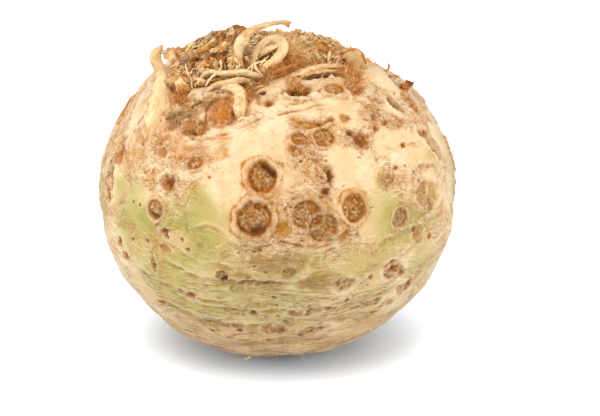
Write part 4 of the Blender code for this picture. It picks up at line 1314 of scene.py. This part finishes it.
# The pieces of it that stand out: stations as for the long roots.
STANDING = (  # name, finish, then for each limb: stations, flatness, hollow, tone
    ("lying_stub", strap_root, (
        (((-28, -14.5, 45.5, 4.4), (-31, -17.6, 47.0, 3.6), (-34.5, -18.2, 47.6, 3.2),
          (-37.4, -18.2, 47.2, 3.4)), 0.9, 1.2, 0.8),
    )),
    ("grey_knob", grey_bark, (
        (((-28.6, -8, 47, 3.4), (-30.6, -9, 50.4, 3.8), (-31.4, -9.6, 52.8, 3.0)), 0.9, -0.9, 0.3),
        (((-23.6, 3.5, 55, 1.6), (-22.7, 3, 57.2, 1.8), (-21.2, 2.8, 57.6, 1.6)), 0.6, -0.4, 0.4),
    )),
    ("open_cups", brown_root, (
        (((-26.5, -9.5, 46.5, 5.4), (-26.8, -11.5, 50, 5.2), (-27.0, -13.6, 53.0, 5.4)), 0.85, 2.0, 0.3),
        (((24.4, -8.6, 51.2, 1.8), (23.4, -10.4, 52.0, 2.3), (23.0, -11.1, 52.3, 2.2)), 0.8, 1.8, 0.7),
        (((-33, -5, 50, 1.4), (-34.6, -5.6, 53.4, 1.3), (-33.4, -6, 55.2, 1.2),
          (-31.6, -6, 54.4, 1.1)), 0.6, 0.4, 0.1),
    )),
    ("torn_slabs", dead_skin, (
        (((-26, -13.5, 50, 3.8), (-23.6, -15.5, 52.4, 4.6), (-20.2, -16, 53.2, 3.0)), 0.6, -0.3, 0.0),
        (((-21.5, -9.5, 52.6, 2.2), (-19.2, -10, 55.8, 2.8), (-17, -10, 58.4, 1.8)), 0.6, -0.3, 0.1),
        (((-27, -3, 50.6, 2.6), (-24, -4, 54.6, 2.8), (-20.5, -4, 57.4, 2.0)), 0.55, 0.5, 0.3),
        (((-24, 1, 53, 2.4), (-20.5, 0, 56.8, 2.8), (-16.5, 0, 58.6, 1.8)), 0.5, 0.5, 0.1),
        (((-15.5, -19, 51, 1.6), (-15.2, -19.6, 54.4, 4.2), (-14.6, -19.6, 56.4, 2.6)), 0.3, -0.3, 0.0),
    )),
    ("peak_scraps", red_skin, (
        (((-18.5, -2, 55.5, 3.0), (-17, -2, 58.4, 4.4), (-15.6, -1.6, 61.4, 1.2)), 0.4, 0.4, 0.5),
        (((-14.5, -2, 55.5, 3.0), (-14, -2, 58.4, 3.4), (-12.6, -2, 60.0, 1.4)), 0.35, 0.4, 0.8),
        (((10.5, 3, 51.5, 2.6), (13.5, 2.6, 53.8, 2.4), (16.4, 2.6, 53.6, 1.6)), 0.4, 0.4, 0.7),
        (((36.5, -4, 42.5, 1.6), (39.4, -4.4, 44.8, 1.8), (41.8, -4.4, 44.6, 1.2)), 0.4, 0.4, 0.2),
        (((37, 0, 43.5, 1.2), (38.6, 0, 46.2, 1.1), (38.2, 0, 47.6, 0.8)), 0.5, 0.4, 0.1),
    )),
    ("pale_scraps", pale_root, (
        (((-16.4, -2.4, 57.6, 3.0), (-15.6, -2.6, 59.6, 2.2), (-15.2, -2.6, 61.6, 0.7)), 0.25, -0.2, 0.2),
        (((9.0, 0, 52.6, 1.8), (10.2, -0.6, 54.6, 1.8), (11.0, -0.6, 55.6, 1.2)), 0.4, -0.2, 0.3),
        (((-19, -20.5, 55.6, 0.5), (-18.8, -23.5, 54.4, 0.6), (-20, -25.6, 53.2, 0.6),
          (-22.4, -27.2, 51.6, 0.6), (-24, -28.6, 49.3, 0.5)), 1.0, 0.3, 0.0),
        (((-8, -25.4, 56.0, 0.6), (-9.2, -26, 55.0, 0.5), (-10.4, -26.4, 54.0, 0.4)), 1.0, 0.3, 0.0),
        (((-8, -25.4, 56.0, 0.6), (-8.4, -26.6, 54.6, 0.5), (-8.8, -27, 53.0, 0.4)), 1.0, 0.3, 0.0),
        (((-7.4, -25.4, 56.2, 0.6), (-6.8, -26.6, 54.6, 0.55), (-5.0, -27.2, 52.8, 0.5)), 1.0, 0.3, 0.0),
        (((-8, -25.2, 56.0, 0.6), (-6, -25.6, 56.8, 0.55), (-3.6, -25.2, 57.2, 0.5)), 1.0, 0.3, 0.0),
        (((-12.6, -40, 41.0, 0.5), (-11.6, -41, 42.4, 0.5), (-10.2, -41.2, 41.6, 0.5),
          (-10.6, -41.6, 40, 0.6)), 1.0, 0.3, 0.0),
    )),
    ("flat_band", cream_root, (
        (((2.2, -26.0, 50.9, 2.2), (6.0, -24.6, 51.9, 3.2), (9.7, -21.8, 52.5, 3.8),
          (13.1, -19.4, 52.8, 3.8), (16.9, -17.0, 52.4, 3.6), (20.6, -14.6, 51.6, 3.4),
          (23.0, -12.4, 50.2, 2.8)), 0.5, 0.3, 0.4),
        (((8.0, -24.2, 51.4, 1.8), (11.7, -22.0, 51.9, 2.4), (15.5, -19.8, 51.6, 2.8),
          (19.3, -17.4, 50.9, 2.6), (22.6, -15.2, 49.9, 1.8)), 0.5, 0.3, 0.8),
    )),
    ("bottom_bristles", pale_root, (
        (((-6.6, -20.5, -48.8, 1.0), (-8.6, -25, -50.2, 0.9), (-11.2, -27.6, -50.8, 0.6)), 1.0, 0.3, 0.1),
        (((0.4, -18.5, -49.0, 0.9), (0.3, -22.3, -51.0, 0.7), (0.0, -24.6, -52.0, 0.4)), 1.0, 0.3, 0.3),
        (((8.0, -18.5, -49.0, 0.9), (8.3, -22.0, -50.9, 0.7), (8.9, -24.0, -51.8, 0.4)), 1.0, 0.3, 0.3),
        (((30, -26, -38.5, 0.7), (32, -28, -39.6, 0.6), (34, -29.4, -40.6, 0.4)), 1.0, 0.3, 0.2),
    )),
)
for number, (name, finish, limbs) in enumerate(STANDING):
    parts = [
        crumpled(
            limb(
                stations, 0.35, 18, 820 + 20 * number + n, ribs=0.16, lumps=0.26, flat=flat, torn=0.9,
                hollow=hollow, tone=tone,
            ),
            0.5 if stations[0][3] > 1 else 0.15,
        )
        for n, (stations, flat, hollow, tone) in enumerate(limbs)
    ]
    join_parts(name, parts, finish, "root_cream" if finish in (cream_root, pale_root) else "root_brown")

# Broken lengths of thin root lie caught between them.
SNAGS = 130
BROWN_SNAGS = 70
snags = []
for number, n in enumerate(scatter.choice(crown_places, SNAGS, p=heaped)):
    out = skin_smooth_out[n]
    way = lying(out, 1.3)
    turned = np.cross(out, way) * scatter.uniform(-0.7, 0.7)
    long, wide = scatter.uniform(2.5, 8), scatter.uniform(0.35, 1.2)
    start = shape[n] - 0.3 * out
    arch = 2.6 * min(1, long / 6) * out
    stations = [
        (*(start + way * long * t + turned * long * t * t + arch * math.sin(2.4 * t)), wide * w)
        for t, w in ((0, 1.2), (0.35, 1), (0.7, 0.85), (1, 0.6))
    ]
    tone = scatter.uniform(0, 1)
    snags.append(limb(stations, 0.5, 9, 700 + number, ribs=0.12, lumps=0.2, torn=0.5, tone=tone))
snags = [worn_down(snag, 0.8) for snag in snags]
join_parts("crown_snags_brown", snags[:BROWN_SNAGS], brown_root, "root_brown")
join_parts("crown_snags_cream", snags[BROWN_SNAGS:], cream_root, "root_cream")

# ------------------------------------------------------------------ flakes
# Scraps of dead skin and split bark stand up all over the crown: thin, curled and ragged. Each
# is held to the skin by one edge, and its other edges are pale: dried, with a painted highlight on them.


def flake(place, out, way, size, seed, tone):
    """A curled scrap about size long, held to the skin by one edge. Its edges are its palest part."""
    rng = np.random.default_rng(seed)
    across = np.cross(out, way)
    tilt = math.radians(rng.uniform(10, 75))
    along = way * math.cos(tilt) + out * math.sin(tilt)
    face = np.cross(along, across)
    rows, columns = 9, 8
    u, v = np.meshgrid(np.linspace(0, 1, rows), np.linspace(-1, 1, columns), indexing="ij")
    u, v = u.ravel(), v.ravel()
    width = size * rng.uniform(0.25, 0.5) * (0.55 + 0.6 * np.sin(np.pi * np.clip(u * 0.85 + 0.1, 0, 1)))
    local = np.stack([u * 3, v * 3, np.full(len(u), seed * 1.7)], 1)
    ragged_u = u * size * (1 + 0.22 * noise(local, 1.1, 3)) - 0.6
    bend = rng.uniform(-0.8, 0.8) * size * u**2 + rng.uniform(-0.5, 0.9) * width * v**2
    bend += 0.6 * noise(local, 1.3, 4)
    sheet = (
        place + along * ragged_u[:, None]
        + across * (v * width * (1 + 0.3 * noise(local, 0.8, 5)))[:, None]
        + face * bend[:, None]
    )
    thick = face * rng.uniform(0.16, 0.4)
    count = len(u)
    faces = []
    for a in range(rows - 1):
        for b in range(columns - 1):
            n = a * columns + b
            faces.append((n, n + 1, n + columns + 1, n + columns))
            faces.append((count + n, count + n + columns, count + n + columns + 1, count + n + 1))
    rim = [*range(columns)] + [a * columns + columns - 1 for a in range(1, rows)]
    rim += [(rows - 1) * columns + b for b in range(columns - 2, -1, -1)]
    rim += [a * columns for a in range(rows - 2, 0, -1)]
    for n, m in zip(rim, rim[1:] + rim[:1]):
        faces.append((m, n, count + n, count + m))
    points = np.vstack([sheet - thick / 2, sheet + thick / 2])
    # The free edges take the tip colour: dried pale, with a painted highlight.
    pale = np.maximum(u, v**4)
    values = {"along": np.tile(pale, 2), "hollow": np.zeros(2 * count), "tone": np.full(2 * count, tone)}
    run = np.tile(np.stack([v * width, np.full(count, seed * 0.77), u * size], 1), (2, 1))
    return points, faces, values, run


FLAKES = 1150
DEAD_FLAKES = 730  # the first ones, then the pale ones up to the first red one
FIRST_RED = 1050
LONGEST_OFF_HEAP = 2.6
strewn = np.where(heap_x < HEAP_END, 1.0, np.where(heap_x < RIGHT_START, 0.25, 0.8))
strewn *= 1 - 0.3 * stain["fur"][crown_places]
strewn /= strewn.sum()
flakes = []
for number, n in enumerate(scatter.choice(crown_places, FLAKES, p=strewn)):
    size = scatter.uniform(0.7, 2.4) if number % 3 else scatter.uniform(2.4, 5.2)
    size = min(size, LONGEST_OFF_HEAP) if shape[n, 0] > HEAP_END else size
    out = skin_smooth_out[n]
    place = shape[n] + 0.9 * (number % 2) * out
    flakes.append(flake(place, out, lying(out, 0.9), size, 900 + number, scatter.uniform(0, 1)))
flakes = [worn_down(scrap, 0.8) for scrap in flakes]
join_parts("crown_flakes", flakes[:DEAD_FLAKES], dead_skin, "root_brown")
join_parts("crown_flakes_pale", flakes[DEAD_FLAKES:FIRST_RED], pale_root, "root_brown")
join_parts("crown_flakes_red", flakes[FIRST_RED:], red_skin, "root_brown")

# ------------------------------------------------------------------ fibre
# Golden-brown root hair, matted and dusty, fills the gaps between the stubs. Each strand grows
# out of the skin, curls about and thins towards its tip.

JOINTS = 8  # points along each strand


def hair(name, feet, ways, long, foot_radius, tones, curl, seed, finish, body_slot):
    """Many fine three-sided strands, curled at random, each with its own foot, way, length and radius."""
    rng = np.random.default_rng(seed)
    count = len(feet)
    t = np.linspace(0, 1, JOINTS)[None, :, None]
    bend = rng.normal(size=(count, 1, 3)) * curl
    wave = rng.normal(size=(count, 1, 3)) * curl * 0.35
    turns = rng.uniform(3, 9, (count, 1, 1))
    line = feet[:, None] + long[:, None, None] * (
        ways[:, None] * t + bend * t**2 + wave * np.sin(turns * t)
    )
    ahead = np.gradient(line, axis=1)
    ahead /= np.linalg.norm(ahead, axis=2)[..., None]
    side = np.cross(ahead, rng.normal(size=(count, 1, 3)))
    side /= np.linalg.norm(side, axis=2)[..., None]
    over = np.cross(ahead, side)
    radius = foot_radius[:, None, None] * (1 - 0.75 * t)
    thirds = [math.radians(a) for a in (0, 120, 240)]
    rings = [line + radius * (side * math.cos(a) + over * math.sin(a)) for a in thirds]
    points = np.stack(rings, 2).reshape(-1, 3)
    starts = (np.arange(count)[:, None] * JOINTS + np.arange(JOINTS - 1)[None]).ravel() * 3
    quads = [
        np.stack([starts + m, starts + (m + 1) % 3, starts + (m + 1) % 3 + 3, starts + m + 3], 1)
        for m in range(3)
    ]
    first = np.arange(count) * JOINTS * 3
    final = first + (JOINTS - 1) * 3
    caps = [np.stack([first + 2, first + 1, first], 1), np.stack([final, final + 1, final + 2], 1)]
    mesh = bpy.data.meshes.new(name)
    faces = np.vstack(quads).tolist() + np.vstack(caps).tolist()
    mesh.from_pydata(((points + MIDDLE) * MM).tolist(), [], faces)
    tones = np.clip(tones + rng.uniform(0, 1, count) + 0.5 * noise(feet, 5, seed), 0, 1)
    keep_on(mesh, "tone", np.repeat(tones, JOINTS * 3))
    put_on_root(name, mesh, finish, body_slot)


def hair_material(name, light, dark):
    material, tree, surface = new_material(name)
    marks = use_group(tree, bark_marks, {"Place": in_millimetres(tree), "Strand": in_millimetres(tree)})
    clouded = ramp(tree, marks["Cloud"], 0.3, 0.7, -0.15, 0.3)
    shade = sums(tree, "ADD", product(tree, read(tree, "tone"), 0.9), clouded)
    colour = blend_colour(tree, shade, dark, light)
    wire(tree, colour, surface.inputs["Base Color"])
    wire(tree, ramp(tree, marks["Fine"], 0.2, 0.8, 0.6, 0.9), surface.inputs["Roughness"])
    surface.inputs["Specular IOR Level"].default_value = 0.04
    wire(tree, relief(tree, 0.3, 0.05, marks["Fine"]), surface.inputs["Normal"])
    return material


brown_hair = hair_material("brown_hair", (1.0, 0.71, 0.35), (0.64, 0.22, 0.025))
feet, ways, tones = [], [], []
for turn, lift, size, many in MATS:
    place, out = skin_at(turn, lift)
    near = np.flatnonzero(((shape - place) ** 2).sum(1) < size**2)
    chosen = scatter.choice(near, many)
    feet.append(shape[chosen] - 0.2 * skin_out[chosen])
    tangle = scatter.normal(size=(many, 3)) * 0.75
    ways.append(tangle + 0.25 * skin_smooth_out[chosen])
    tones.append(np.full(many, -0.4 if size < 5 else 0.4))
feet, ways, tones = np.vstack(feet), np.vstack(ways), np.concatenate(tones)
ways /= np.linalg.norm(ways, axis=1)[:, None]
STRAND_LENGTHS = (0.9, 3.2)
FOOT_RADII = (0.08, 0.21)
CURL = 0.75
long = scatter.uniform(*STRAND_LENGTHS, len(feet))
foot_radius = scatter.uniform(*FOOT_RADII, len(feet))
hair("crown_fibre", feet, ways, long, foot_radius, tones, CURL, 41, brown_hair, "root_brown")

# ------------------------------------------------------------------ the table and the light
# The celeriac stands on a plain white table. To the camera alone the table glows white as a painted
# light, fading to a painted bluish shadow near the celeriac, with a big soft light above and weaker ones in
# front and at its sides.

SHADE_MIDDLE = 21  # millimetres from the middle of the flat spot: the table's painted glow is nil here
SHADE_EDGE = 80
SHADE_BLUE = (0.0, 0.03, 0.06)
WHITE = (1.0, 1.0, 1.0)
COOL_WHITE = (0.76, 0.815, 0.88)
TABLE = 4  # metres from the middle to its edges
floor_mesh = bpy.data.meshes.new("table_top")
floor_mesh.from_pydata(
    [(-TABLE, -TABLE, 0), (TABLE, -TABLE, 0), (TABLE, TABLE, 0), (-TABLE, TABLE, 0)], [], [(0, 1, 2, 3)]
)
floor = bpy.data.objects.new("table_top", floor_mesh)
bpy.context.scene.collection.objects.link(floor)
floor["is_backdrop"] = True
floor_finish, tree, surface = new_material("white_table")
surface.inputs["Base Color"].default_value = (*COOL_WHITE, 1)
surface.inputs["Roughness"].default_value = 0.7
surface.inputs["Specular IOR Level"].default_value = 0.2
from_celeriac = new_node(tree, "VectorMath", {0: in_millimetres(tree)}, operation="LENGTH").outputs["Value"]
glow = ramp(tree, from_celeriac, SHADE_MIDDLE, SHADE_EDGE)
# Painted light: the table's glow is seen by the camera only and lights nothing.
glow = product(tree, glow, new_node(tree, "LightPath").outputs["Is Camera Ray"])
wire(tree, blend_colour(tree, glow, SHADE_BLUE, WHITE), surface.inputs["Emission Color"])
surface.inputs["Emission Strength"].default_value = 1.0
floor_mesh.materials.append(floor_finish)

ROOM_LIGHT = 0.42
world = bpy.data.worlds.new("white_room")
bpy.context.scene.world = world
world.use_nodes = True
world.node_tree.nodes["Background"].inputs["Color"].default_value = (*WHITE, 1)
world.node_tree.nodes["Background"].inputs["Strength"].default_value = ROOM_LIGHT
LIT = Vector((0, 0, 0.05))  # what the lights point at


def soft_light(name, place, size, power):
    lamp = bpy.data.lights.new(name, "AREA")
    lamp.shape = "DISK"
    lamp.size = size
    lamp.energy = power
    lamp_object = bpy.data.objects.new(name, lamp)
    lamp_object.location = place
    lamp_object.rotation_euler = (LIT - Vector(place)).to_track_quat("-Z", "Y").to_euler()
    bpy.context.scene.collection.objects.link(lamp_object)


soft_light("overhead", (-0.2, -0.40, 1.3), 1.3, 12.5)
soft_light("front_fill", (0.5, -1.4, 0.35), 1.0, 5)
soft_light("left_fill", (-1.3, -0.3, 0.3), 0.8, 10.5)
soft_light("right_fill", (1.3, -0.3, 0.3), 0.8, 9.5)

# ------------------------------------------------------------------ the camera
# A long lens looks down a little on the front of the celeriac, from straight ahead. It aims to
# the right of the celeriac's middle and below it.

CAMERA_LIFT = 20  # degrees
CAMERA_FAR = 2.2  # metres
LENS = 381  # millimetres, on a film 36 wide
AIM_RIGHT = 8.0  # millimetres from the celeriac's middle
AIM_DOWN = 4.9
camera_data = bpy.data.cameras.new("camera")
camera_data.lens = LENS
camera_data.sensor_width = 36
camera = bpy.data.objects.new("camera", camera_data)
back = Vector(towards(0, CAMERA_LIFT))
up = Vector(towards(180, 90 - CAMERA_LIFT))
aim = Vector(MIDDLE * MM) + Vector((AIM_RIGHT * MM, 0, 0)) - up * AIM_DOWN * MM
camera.location = aim + back * CAMERA_FAR
camera.rotation_euler = (-back).to_track_quat("-Z", "Y").to_euler()
bpy.context.scene.collection.objects.link(camera)
bpy.context.scene.camera = camera
bpy.context.scene.view_settings.view_transform = "Standard"

size = {"cad": [list(corner) for corner in cad_box], "visual": [list(corner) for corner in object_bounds()]}
